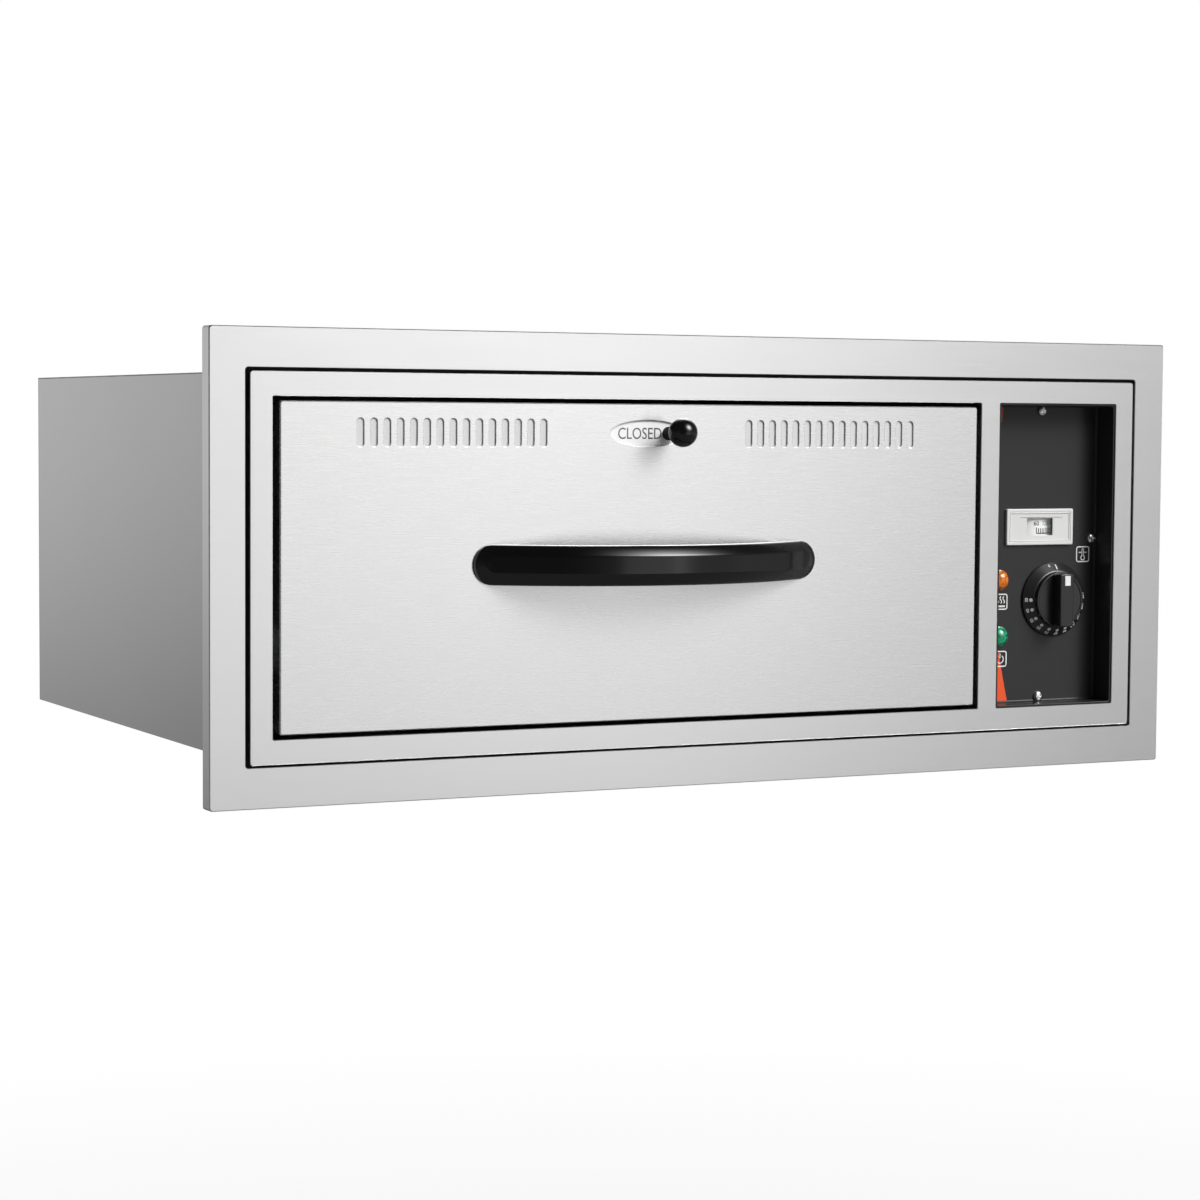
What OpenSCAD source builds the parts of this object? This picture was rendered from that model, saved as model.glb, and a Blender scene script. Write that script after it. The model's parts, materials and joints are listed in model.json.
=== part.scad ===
// Built-in warming drawer, millimetres.
// +X to the right seen from the front, +Y into the cabinet, +Z up.
// Origin: middle of the width, on the underside of the casing, in the plane where the trim
// bears on the face of the cabinet.

/* [Casing] */
// Height of the casing and of its front frame
body_h = 258; // [252:1:290]
// Sheet thickness of the casing and its covers
casing_t = 1; // [0.8:0.1:1.5]
// Width of the folded rims that the covers are screwed to
rim_w = 12; // [11:0.5:14]
// Distance of the cover screws from the edges
cover_screw_in = 60; // [40:1:80]
// Radial clearance of the holes for screws
hole_clear = 0.3; // [0.2:0.05:0.5]
// How far a screw reaches behind the sheets that it holds
screw_end = 3; // [2:0.5:4]

/* [Cooling slots] */
// Number of cooling slots in the rear cover
cool_count = 7; // [3:1:9]
// Distance between two cooling slots
cool_pitch = 9; // [7:0.5:12]
// Width of a cooling slot
cool_w = 3.5; // [3:0.1:5]
// Length of a cooling slot
cool_l = 50; // [40:1:70]
// Distance of the first cooling slot from the top
cool_drop = 60; // [40:1:80]

/* [Trim] */
// Width of the face of the trim
trim_face = 26; // [22:0.5:34]
// Depth from the face of the trim to the cabinet
trim_depth = 14; // [13:0.5:18]
// Sheet thickness of the trim
trim_t = 1.2; // [0.8:0.1:1.5]
// Width of the lip that bears on the cabinet
trim_lip = 10; // [6:0.5:12]
// Gap between the trim and the front frame
trim_gap = 3; // [2:0.25:4]
// Sheet thickness of the brackets behind the trim
bracket_t = 1.5; // [1.2:0.1:2]
// Length of a trim bracket
bracket_l = 30; // [16:1:60]
// Distance of the groove's floor from the cabinet
groove_back = 3; // [2.5:0.1:4]
// Height of the foam strip in the groove
seal_h = 3; // [2:0.25:5]
// Shank radius of the trim screws
trim_screw_r = 1.6; // [1.4:0.1:2]
// Head radius of the trim screws
trim_head_r = 2.6; // [2.4:0.1:3.4]
// Head height of the trim screws
trim_head_h = 1.8; // [1.4:0.1:2.4]

/* [Front frame] */
// How far the face of the front frame stands in front of the trim
frame_proud = 1.2; // [0:0.2:3]
// Sheet thickness of the front frame
frame_t = 1.2; // [0.8:0.1:1.5]
// Rail of the frame left of the drawer
frame_left = 14.3; // [13:0.1:16]
// Rail of the frame right of the controls
frame_right = 15.2; // [11:0.1:20]
// Rail of the frame above the drawer
frame_top = 16.2; // [15:0.1:18]
// Rail of the frame below the drawer
frame_bottom = 16.2; // [15:0.1:18]
// Rail between the drawer and the controls
divider_w = 15.6; // [14:0.1:20]
// Width of the control recess
control_w = 104; // [100:1:112]
// Depth of the folds round the drawer opening
hem_depth = 12; // [6:0.5:14]
// Depth of the joggled laps inside the casing, behind the groove
frame_lap = 12; // [10:0.5:14]
// Depth of the control recess behind the face
recess_depth = 22.2; // [22:0.2:26]

/* [Cavity] */
// Sheet thickness of the liner and of the partition
liner_t = 0.8; // [0.6:0.1:1]
// How far the liner stands back behind the edges of the drawer opening
liner_set = 2; // [1.8:0.1:2.6]
// Width of the flange at the mouth of the liner
liner_flange = 4; // [2:0.5:5]
// Thickness of the insulation behind the liner
rear_insulation = 23; // [16:1:26]
// Radial clearance of the holes in the insulation and the sheets round it
blanket_clear = 1; // [0.6:0.1:1.5]

/* [Heater] */
// Radius of the tubular heating element
heater_r = 4; // [3:0.25:4.5]
// Height of the element over the floor of the liner
heater_rise = 10; // [8:0.5:14]
// Distance between two runs of the element
heater_pitch = 100; // [80:2:104]
// Distance from the bends of the element to the walls of the liner
heater_margin = 28; // [20:1:60]
// Length of the cold ends in the control compartment
heater_tail = 12; // [8:1:20]
// Length of the terminal pins of the element
heater_pin = 10; // [6:0.5:14]
// Distance of the clips from the bends of the element
clip_in = 30; // [15:1:60]
// Width of a clip
clip_w = 8; // [6:0.5:12]
// Wall of a clip round the element
clip_wall = 1.5; // [1:0.1:2]
// Width of the foot of a clip
clip_foot = 16; // [14:0.5:24]
// Wall of the bushes in the partition
bush_wall = 2; // [1.5:0.1:3]
// Thickness and width of the flange of a bush
bush_flange = 3; // [2:0.1:4]

/* [Slides] */
// Outer radius of the nylon rollers
roller_r = 12; // [10:0.5:13]
// Width of the rollers
roller_w = 8; // [6:0.5:9]
// Radius of the roller pins
pin_r = 3; // [2.5:0.1:4]
// Radial running clearance of the rollers on their pins
roller_fit = 0.05; // [0.03:0.01:0.08]
// Thickness and overhang of the heads of the roller pins
pin_head = 1.2; // [1:0.1:1.4]
// Side play of a roller on its pin
roller_play = 0.3; // [0.2:0.05:0.4]
// Space between the wall of the cavity and a side of the drawer
slide_w = 19.95; // [19:0.05:24]
// Space between the pan's rim or the rail and what they slide past
rail_clear = 2; // [1.6:0.1:3]
// Gap between the rails and the rear wall of the cavity
rail_back = 7.7; // [5:0.1:60]
// Thickness of the stops of the rails
stop_t = 2; // [1.5:0.1:3]
// Gap between a roller and what it rolls on
roll_gap = 0.3; // [0.3:0.05:0.5]
// Sheet thickness of the rails
rail_t = 1.5; // [1.2:0.1:2]
// Height of the cabinet rails over the floor of the cavity
rail_z = 46; // [44:1:60]
// Distance the drawer pulls out
drawer_travel = 375; // [300:5:380]

/* [Drawer front] */
// Gap between the drawer front and the frame at each side
front_gap_x = 5; // [3:0.25:6]
// Gap between the drawer front and the frame above and below
front_gap_z = 3; // [2:0.25:4]
// Sheet thickness of the drawer front
skin_t = 1.2; // [0.8:0.1:1.5]
// Depth of the drawer front
front_depth = 28; // [26:0.5:32]
// Sheet thickness of the inner front panel
inner_t = 1; // [0.8:0.1:1.5]

/* [Vent] */
// Distance kept between the open shutter and the ends of the drawer front
slot_margin = 12; // [8:0.5:18]
// Distance between two slots
slot_pitch = 9.58; // [9:0.02:9.7]
// Width of a slot
slot_w = 5.8; // [4.8:0.1:6]
// Length of a slot
slot_h = 19.5; // [14:0.5:20.5]
// Height of the middle of the slots below the top of the drawer front
vent_drop = 20.4; // [19:0.2:24]
// Width of the middle gap between the two groups of slots
vent_middle = 160.9; // [150:0.1:162]
// Length of the oval opening
oval_w = 58; // [56:0.5:64]
// Height of the oval opening
oval_h = 19.6; // [18:0.2:21]
// Thickness of the sliding shutter
shutter_t = 1; // [0.8:0.1:1.2]
// Thickness of the label on the shutter
label_t = 0.4; // [0.3:0.1:0.5]
// Clearance round the shutter
vent_fit = 0.4; // [0.3:0.05:0.6]
// How far a bar of the shutter laps over each edge of a slot
slot_lap = 0.1; // [0.05:0.05:0.2]
// Height of the shutter above and below the slots
shutter_edge = 4.5; // [4:0.1:5]
// Length of the shutter beyond the last slots
shutter_end = 3; // [2:0.1:4]
// Height of the label above and below the oval
label_edge = 2; // [1.5:0.1:3]
// Width of the guides that hold the shutter
guide_w = 4.5; // [4:0.1:5]
// Lap of the guides over the shutter
guide_lap = 3; // [2:0.1:3.5]
// Sheet thickness of the guides
guide_t = 1; // [0.8:0.1:1.2]
// Distance of the stem from the middle when the vent is closed
stem_offset = 15.9; // [15:0.1:17.5]
// Half pitches that the shutter slides
slide_half_pitches = 7; // [5:2:7]
// Radius of the stem
stem_r = 4.75; // [3.5:0.05:5]
// Radius of the black ball
ball_r = 9.25; // [8:0.05:11]
// Distance of the ball's middle from the drawer front
ball_out = 22; // [16:0.5:26]
// Depth of the socket in the ball
ball_socket = 4; // [3:0.1:5]
// Radius of the stem's neck in the shutter
neck_r = 2.5; // [2:0.1:3]
// Thickness of the riveted end of the stem, and its overhang
rivet_t = 1.2; // [1:0.1:1.6]

/* [Handle] */
// Length of the handle over its pads
handle_l = 267; // [240:1:300]
// Height of the handle
handle_h = 27.5; // [24:0.5:32]
// How far the bow stands out of the drawer front
handle_out = 50.5; // [42:0.5:56]
// Thickness of the bow
handle_t = 13; // [11:0.5:16]
// Thickness of the end pads
pad_t = 4; // [3:0.5:6]
// Distance from the end of a pad to the foot of the bow
pad_end = 5.5; // [4:0.5:10]
// Middle of the handle below the top of the drawer front
handle_drop = 109.8; // [90:0.2:130]
// Distance of the handle screws from the ends of the pads
handle_screw_in = 20; // [18:0.5:22]
// Shank radius of the handle screws
handle_screw_r = 2; // [1.6:0.1:2.4]
// Head radius of the handle screws
handle_head_r = 4; // [3.4:0.1:4.6]
// Head height of the handle screws
handle_head_h = 2.6; // [2:0.1:3]
// How far the screws reach into the handle
handle_bite = 7; // [6:0.1:7.8]
// Radius of the washers
washer_r = 7; // [6:0.1:8]
// Thickness of the washers
washer_t = 1.2; // [0.8:0.1:1.6]

/* [Food pan] */
// Length of the pan over its rim, across the drawer
pan_l = 530; // [520:1:532]
// Width of the pan over its rim
pan_w = 325; // [300:1:325]
// Depth of the pan
pan_h = 150; // [100:1:150]
// Sheet thickness of the pan
pan_t = 0.9; // [0.7:0.1:1.2]
// Width of the rim
pan_rim = 12; // [12:0.5:14]
// Height of the raised edge of the rim
rim_edge = 2.2; // [1.5:0.1:3]
// Radius of the bend between the walls and the bottom
pan_bend = 14; // [10:0.5:18]
// How far the walls slope inwards
pan_taper = 9; // [4:1:20]
// Corner radius of the pan's mouth
pan_corner = 48; // [36:1:60]
// Height of the rim over the floor of the cavity
pan_seat = 182; // [178:1:184]

/* [Drawer frame] */
// Sheet thickness of the drawer sides and rear bar
side_t = 1.5; // [1.2:0.1:2]
// Clearance between the pan's walls and the drawer frame
pan_clear = 4; // [3:0.25:5]
// Width of the ledges that carry the rim of the pan
ledge_w = 11.3; // [9:0.1:12]
// Distance from the inner front panel to the pan
pan_front = 7; // [4:0.5:8]
// Height of the front tabs of the sides over the running flange
tab_up = 6; // [4:0.5:8]

/* [Control panel] */
// Sheet thickness of the control panel
panel_t = 1.2; // [0.8:0.1:1.5]
// Gap between the control panel and the recess
panel_gap = 0.3; // [0.1:0.1:0.6]
// Width of the flange that the panel is screwed to
flange_w = 12; // [11:0.5:14]
// Distance of the panel screws from the edges of the panel
screw_inset = 5.2; // [5:0.1:7]
// Height of the side screws over the bottom of the recess
side_screw_z = 124; // [110:1:150]
// Radius of the head of a panel screw
screw_head_r = 3.5; // [3:0.1:4]
// Height of the head of a panel screw
screw_head_h = 2.4; // [1.8:0.1:3]
// Shank radius of the sheet-metal screws
screw_r = 1.7; // [1.4:0.1:2]

/* [Thermostat] */
// Distance of the knob from the right edge of the recess
knob_from_right = 39.8; // [36:0.2:42]
// Height of the knob over the bottom of the recess
knob_up = 78.4; // [70:0.2:90]
// Radius of the knob's skirt at the panel
knob_r = 28.1; // [26:0.1:29]
// Radius of the knob's face
face_r = 20.7; // [18:0.1:23]
// Height of the skirt of the knob
skirt_h = 9.6; // [8:0.2:11]
// Height of the grip bar of the knob
grip_h = 10.8; // [8:0.2:11]
// Width of the grip bar
grip_w = 12; // [9:0.2:16]
// Gap between the knob and the panel
knob_gap = 0.8; // [0.5:0.1:1.5]
// Radius of the thermostat's shaft
shaft_r = 3; // [2.5:0.1:3.5]
// Radial running clearance of the shaft
shaft_fit = 0.05; // [0.02:0.01:0.08]
// Radius of the thermostat's threaded collar
collar_r = 5; // [4.5:0.1:5.5]
// How far the collar stands out of the panel
collar_out = 4; // [3:0.1:4.5]
// Thickness of the nut on the collar
nut_t = 2.4; // [2:0.1:3]
// Width of the nut and of the shoulder behind the panel beyond the collar
nut_edge = 3; // [2.5:0.1:3.5]
// Width and depth of the knob's hollow beyond the collar
hollow_clear = 5; // [4.5:0.1:5.5]
// Thickness of the knob over the end of the shaft
knob_skin = 5; // [3:0.1:6]
// Thickness of the rim of the knob
knob_edge = 1; // [0.6:0.1:1.6]
// Width and height of the thermostat's body
stat_w = 38; // [30:1:42]
// Depth of the thermostat's body
stat_d = 30; // [22:1:40]
// Depth of the thermostat's body behind the end of the shaft's bore
bore_end = 8; // [6:0.5:10]
// Length of the terminal blades of the thermostat and the lamps
blade_l = 8; // [6:0.5:10]
// Height of the terminal blades
blade_h = 5; // [4:0.5:6.3]
// Thickness of the terminal blades
blade_t = 0.8; // [0.6:0.1:1]
// Distance of the thermostat's blades from its middle
blade_x = 10; // [8:0.5:14]

/* [Bulb] */
// Radius of the capillary tube
capillary_r = 1; // [0.8:0.1:1.2]
// Depth of the capillary behind the control panel
capillary_in = 54; // [50:1:70]
// Height of the capillary's end over the middle of the thermostat
capillary_up = 12; // [8:0.5:15]
// Radius of the bulb
bulb_r = 3.2; // [3:0.1:4]
// Length of the bulb
bulb_l = 90; // [70:1:110]
// Distance of the bulb behind the capillary's way in
bulb_back = 100; // [60:1:160]
// Gap between the bulb and the walls of the liner
bulb_gap = 3.5; // [3:0.1:5]
// Wall of the bulb's clips
bulb_clip = 1; // [0.8:0.1:1.4]

/* [Thermometer] */
// Width of the bezel
bezel_w = 60; // [56:0.5:66]
// Height of the bezel
bezel_h = 27.2; // [25:0.2:32]
// Width of the rim of the bezel
bezel_rim = 3.6; // [3:0.1:4.4]
// How far the bezel stands out of the panel
bezel_out = 2.6; // [2.2:0.1:4]
// Distance of the thermometer from the right edge of the recess
thermo_from_right = 53.6; // [50:0.2:56]
// Height of the thermometer over the bottom of the recess
thermo_up = 133.2; // [128:0.2:170]
// Width of the window in the mask
window_w = 23.4; // [16:0.2:30]
// Height of the window in the mask
window_h = 12.9; // [8:0.1:13.6]
// Radius of the scale drum
drum_r = 20; // [16:0.5:22]
// Height of the scale drum
drum_h = 14; // [13.8:0.2:16]
// Wall of the scale drum
drum_t = 1; // [0.8:0.1:1.4]
// Radius of the drum's axle
axle_r = 1.2; // [1:0.1:1.5]
// Radial running clearance of the axle
axle_fit = 0.05; // [0.03:0.01:0.08]
// Wall of the sleeve of the bezel
sleeve_t = 0.8; // [0.6:0.1:1.2]
// Depth of the sleeve behind the panel
sleeve_in = 7; // [5:0.5:9]
// Thickness of the window
pane_t = 1; // [0.8:0.1:1.2]
// Thickness of the mask, and its gaps to the window's seat and to the drum
mask_t = 0.8; // [0.6:0.1:1]
// Wall of the thermometer's case
case_t = 1.2; // [1:0.1:1.6]

/* [Lamps] */
// Radius of the flange of a lamp lens
lens_r = 7.6; // [7:0.1:9]
// Height of the dome of a lamp lens
dome_h = 5; // [4:0.2:6]
// Distance of the lamps from the left edge of the recess
lamp_in = 15.8; // [12:0.2:17]
// Height of the upper lamp over the bottom of the recess
lamp_up_high = 93.7; // [86:0.2:100]
// Height of the lower lamp over the bottom of the recess
lamp_up_low = 51.3; // [40:0.2:60]
// Height and width of the flange of a lens
lens_edge = 1.2; // [1:0.1:1.5]
// Depth of the body of a lamp
lamp_d = 22; // [16:0.5:28]
// Distance of a lamp's blades from its middle
lamp_blade_x = 3; // [2.5:0.1:4]

/* [Mains inlet] */
// Radius of the hole in the cord gland
gland_bore_r = 4.2; // [3.5:0.1:5]
// Radius of the thread of the cord gland
gland_r = 8; // [7:0.1:9]
// Height of the cord gland over the floor
gland_z = 42; // [36:1:60]
// Distance of the cord gland right of the middle of its compartment
gland_right = 10; // [0:1:14]
// Length of the thread behind the rear cover
gland_in = 9; // [7:0.5:12]
// Width of the flange of the gland
gland_flange = 4; // [3:0.1:5]
// Thickness of the flange of the gland
gland_flange_t = 6; // [4:0.5:8]
// Length of the gland outside
gland_out = 14; // [12:0.5:20]
// Thickness of the gland's nut
gland_nut_t = 5; // [4:0.5:6]

/* [Terminals] */
// Distance of the terminal block from the rear
terminal_back = 55; // [45:1:68]
// Width of the terminal block
terminal_w = 64; // [58:1:72]
// Depth of the terminal block
terminal_d = 24; // [20:1:28]
// Height of the terminal block
terminal_h = 20; // [18:1:24]
// Distance between two poles
pole_pitch = 11; // [10:0.5:12]
// Radius of the holes of a pole
pole_r = 2.5; // [2:0.1:3]
// Radius of a wire with its insulation
wire_r = 1.2; // [1:0.1:1.6]
// Length of a wire straight out of a terminal
wire_out = 20; // [12:1:30]

/* [Hidden] */
$fn = 48;

steel = [0.80, 0.80, 0.79];
galvanised = [0.66, 0.68, 0.69];
black = [0.07, 0.07, 0.07];
wool = [0.86, 0.80, 0.62];

// opening of the drawer, as wide as the pan with its slides
body_half = pan_l / 2 - pan_rim;
side_in = body_half + pan_clear;
side_out = side_in + side_t;
open_w = 2 * (side_out + slide_w - liner_set);
body_w = frame_left + open_w + divider_w + control_w + frame_right;

// depths along Y
face_y = -(trim_depth + frame_proud);
skin_y = face_y + frame_t;
panel_y = face_y + recess_depth;
groove_y = -groove_back;
blanket_y = groove_y + frame_lap;
lap_in = casing_t + frame_t;
hem_y = face_y + frame_t + hem_depth;

// places across X
half_w = body_w / 2;
open_x0 = -half_w + frame_left;
control_x1 = half_w - frame_right;
control_x0 = control_x1 - control_w;
open_x1 = control_x0 - divider_w;
drawer_cx = (open_x0 + open_x1) / 2;
liner_x0 = open_x0 - liner_set;
liner_x1 = open_x1 + liner_set;
partition_x = control_x0 - frame_t;

// heights along Z
open_z0 = frame_bottom;
open_z1 = body_h - frame_top;
liner_z0 = open_z0 - liner_set;
liner_z1 = open_z1 + liner_set;
top_z = body_h - casing_t;

// drawer front
front_x0 = open_x0 + front_gap_x;
front_x1 = open_x1 - front_gap_x;
front_z0 = open_z0 + front_gap_z;
front_z1 = open_z1 - front_gap_z;
inner_y = face_y + front_depth;
vent_z = front_z1 - vent_drop;
handle_z = front_z1 - handle_drop;
skin_back = face_y + skin_t;

// vent: the shutter slides an odd number of half pitches, so its bars move over the slots
vent_travel = slide_half_pitches * slot_pitch / 2;
shutter_slot_w = slot_pitch - slot_w - 2 * slot_lap;
label_y = skin_back + vent_fit;
shutter_y = label_y + label_t;
shutter_back = shutter_y + shutter_t;
shutter_h = slot_h + 2 * shutter_edge;
slot_room = (front_x1 - front_x0 - vent_middle - slot_w) / 2 - vent_travel - slot_margin;
slot_count = floor(slot_room / slot_pitch) + 1;
group_w = (slot_count - 1) * slot_pitch;
group_left = drawer_cx - vent_middle / 2 - group_w;
group_right = drawer_cx + vent_middle / 2;
stem_x = drawer_cx + stem_offset;
oval_end = oval_w / 2 + label_edge;
label_x0 = drawer_cx - oval_end;
label_x1 = drawer_cx + oval_end + vent_travel;
shutter_x0 = group_left - slot_w / 2 - shutter_end;
shutter_x1 = group_right + group_w + slot_w / 2 + vent_travel + shutter_end;
guide_x0 = front_x0 + skin_t;
guide_x1 = front_x1 - skin_t;

// pan and drawer frame
pan_z = liner_z0 + pan_seat;
pan_y0 = inner_y + side_t + pan_front;
pan_y1 = pan_y0 + pan_w;
bar_y = pan_y1 - pan_rim + pan_clear;
rim_corner = pan_corner * 0.6;

// slides: u runs from the liner's wall towards the drawer, z from the foot of the cabinet rail
rail_foot = liner_z0 + rail_z;
channel_h = 2 * roller_r + 2 * roll_gap;
rail_h = channel_h + 2 * rail_t;
run_z = rail_h + rail_clear / 2;
web_u = slide_w - rail_t;
roller_u = (rail_t + web_u - roller_w) / 2;
channel_w = roller_u + roller_w + rail_t - roller_play;
head_u = roller_u + roller_w + roller_play;
front_roller_z = run_z - roll_gap - roller_r;
rear_roller_z = rail_t + roll_gap + roller_r;
rail_y0 = inner_y + side_t + rail_clear;
front_roller_y = rail_y0 + roller_r + rail_clear;
stop_y = front_roller_y + roller_r + rail_clear;
rear_roller_y = stop_y + stop_t + rail_clear + roller_r + drawer_travel;
side_y1 = rear_roller_y + roller_r + rail_clear;
rail_y1 = side_y1 + stop_t;

// rear of the cavity and of the casing, behind the rails
liner_y = rail_y1 + rail_back + liner_t;
rear_rim_y = liner_y + rear_insulation;
cover_y = rear_rim_y + casing_t;
rear_y = cover_y + casing_t;

// controls
recess_z0 = open_z0;
recess_z1 = open_z1;
recess_cx = (control_x0 + control_x1) / 2;
knob_x = control_x1 - knob_from_right;
knob_z = recess_z0 + knob_up;
knob_base_y = panel_y - knob_gap;
knob_face_y = knob_base_y - skirt_h;
knob_front_y = knob_face_y - grip_h;
behind_y = panel_y + panel_t;
thermo_x = control_x1 - thermo_from_right;
thermo_z = recess_z0 + thermo_up;
lamp_x = control_x0 + lamp_in;
lens_z = [recess_z0 + lamp_up_high, recess_z0 + lamp_up_low];
sleeve_w = bezel_w - 2 * bezel_rim;
sleeve_h = bezel_h - 2 * bezel_rim;
sleeve_y = behind_y + sleeve_in;
pane_y = panel_y - bezel_out + mask_t;
mask_y = panel_y + mask_t;
drum_y = mask_y + 2 * mask_t + drum_r;
case_w = sleeve_w + 2 * sleeve_t;
case_h = sleeve_h + 2 * sleeve_t;
case_y = drum_y + drum_r + drum_t + case_t;
stat_y = behind_y + knob_edge;
shaft_end = bore_end + 2;
gland_x = (control_x0 + half_w) / 2 + gland_right;

// heater: four parallel runs joined by half-circle bends
heater_z = liner_z0 + heater_rise;
heater_bend = heater_pitch / 2;
heater_y0 = (inner_y + liner_y) / 2 - 1.5 * heater_pitch;
heater_runs = [for (i = [0:3]) heater_y0 + i * heater_pitch];
heater_left = liner_x0 + heater_margin + heater_bend;
heater_right = liner_x1 - heater_margin - heater_bend;
heater_end = control_x0 + heater_tail;
bulb_x = liner_x1 - bulb_r - bulb_gap;
bulb_z = liner_z1 - bulb_r - bulb_gap;
capillary_y = panel_y + capillary_in;
bulb_y = capillary_y + bulb_back;

// brackets of the trim, two at each side and two on top, and their screws
bracket_z = [body_h * 0.25, body_h * 0.75];
bracket_x = [-body_w * 0.3, body_w * 0.3];
bracket_y = blanket_y;
trim_screw_y = (groove_y + bracket_t + blanket_y) / 2;
rear_screw_x = [-half_w + rim_w / 2, half_w - rim_w / 2];
rear_screw_z = [cover_screw_in, body_h - cover_screw_in];
bottom_screw_x = [-body_w / 4, body_w / 4];
cover_bite = 2 * casing_t + screw_end;
terminal_x = recess_cx;
terminal_y = rear_y - terminal_back;
pole_z = casing_t + terminal_h * 0.4;

module slab(x0, x1, y0, y1, z0, z1) {
    translate([x0, y0, z0]) cube([x1 - x0, y1 - y0, z1 - z0]);
}

// cylinder along +Y from y0 to y1
module peg_y(x, z, r, y0, y1) {
    translate([x, y0, z]) rotate([-90, 0, 0]) cylinder(h = y1 - y0, r = r);
}

// cylinder along +X from x0 to x1
module peg_x(y, z, r, x0, x1) {
    translate([x0, y, z]) rotate([0, 90, 0]) cylinder(h = x1 - x0, r = r);
}

module peg_z(x, y, r, z0, z1) {
    translate([x, y, z0]) cylinder(h = z1 - z0, r = r);
}

// rectangular tube along Y, its wall outside the clear opening
module tube_y(x0, x1, z0, z1, wall, y0, y1) {
    difference() {
        slab(x0 - wall, x1 + wall, y0, y1, z0 - wall, z1 + wall);
        slab(x0, x1, y0 - 1, y1 + 1, z0, z1);
    }
}

// pan-head screw along +Z with its head above z = 0 and a cross recess
module screw(head_r, head_h, shank_r, shank_l) {
    difference() {
        union() {
            translate([0, 0, head_h / 2]) cylinder(h = head_h / 2, r1 = head_r, r2 = head_r * 0.7);
            cylinder(h = head_h / 2, r = head_r);
        }
        for (a = [0, 90]) rotate([0, 0, a]) translate([-head_r * 0.55, -0.35, head_h * 0.5])
            cube([head_r * 1.1, 0.7, head_h]);
    }
    translate([0, 0, -shank_l]) cylinder(h = shank_l, r = shank_r);
}

// tube of radius r along a list of points, rounded at each corner
module tube_path(points, r) {
    for (i = [0:len(points) - 2]) hull() {
        translate(points[i]) sphere(r = r, $fn = 10);
        translate(points[i + 1]) sphere(r = r, $fn = 10);
    }
}

// lens shape between two circular arcs, width w and height h
module lens_2d(w, h) {
    arc_r = (w * w / 4 + h * h / 4) / h;
    intersection() {
        translate([0, h / 2 - arc_r]) circle(r = arc_r, $fn = 96);
        translate([0, arc_r - h / 2]) circle(r = arc_r, $fn = 96);
    }
}

module slot_2d(w, h) {
    square([w, h - w], center = true);
    for (s = [-1, 1]) translate([0, s * (h - w) / 2]) circle(d = w, $fn = 24);
}

// both groups of slots, cut through from y0 to y1 and moved by dx
module slot_rows(w, h, y0, y1, dx) {
    for (x0 = [group_left, group_right], i = [0:slot_count - 1])
        translate([x0 + i * slot_pitch + dx, y1, vent_z]) rotate([90, 0, 0])
            linear_extrude(height = y1 - y0) slot_2d(w, h);
}

// places children at every trim bracket: local +X points out of the casing
module at_brackets() {
    for (z = bracket_z, s = [0, 1]) mirror([s, 0, 0]) translate([half_w, 0, z]) children();
    for (x = bracket_x) translate([x, 0, body_h]) rotate([0, -90, 0]) children();
}

module trim_flange() color(steel) {
    inner_x = half_w + trim_gap;
    outer_x = inner_x + trim_face;
    inner_z = -trim_gap;
    outer_z = inner_z - trim_face;
    difference() {
        slab(-outer_x, outer_x, -trim_depth, 0, outer_z, body_h - outer_z);
        slab(-outer_x + trim_t, outer_x - trim_t, -trim_depth + trim_t, -trim_t,
            outer_z + trim_t, body_h - outer_z - trim_t);
        slab(-inner_x, inner_x, -trim_depth - 1, 1, inner_z, body_h - inner_z);
        slab(-outer_x + trim_lip, outer_x - trim_lip, -trim_t - 1, 1,
            outer_z + trim_lip, body_h - outer_z - trim_lip);
    }
    // inner fold and the flange that closes the groove round the casing
    tube_y(-inner_x, inner_x, inner_z, body_h - inner_z, trim_t, -trim_depth + trim_t / 2, groove_y);
    tube_y(-half_w, half_w, 0, body_h, trim_gap + trim_t, groove_y - trim_t, groove_y);
}

// foam strip in the bottom of the groove, which keeps steam out of the cabinet
module groove_seal() color(black)
    tube_y(-half_w, half_w, 0, body_h, trim_gap, groove_y - trim_t - seal_h, groove_y - trim_t);

module trim_brackets() color(galvanised) at_brackets() difference() {
    union() {
        slab(0, bracket_t, groove_y, bracket_y, -bracket_l / 2, bracket_l / 2);
        slab(0, trim_gap + trim_face - trim_lip, groove_y, groove_y + bracket_t,
            -bracket_l / 2, bracket_l / 2);
    }
    peg_x(trim_screw_y, 0, trim_screw_r + hole_clear, -1, bracket_t + 1);
}

module trim_screws() color(galvanised) {
    at_brackets() translate([bracket_t, trim_screw_y, 0]) rotate([0, 90, 0])
        screw(trim_head_r, trim_head_h, trim_screw_r, bracket_t + casing_t + frame_t + screw_end);
}

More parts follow.
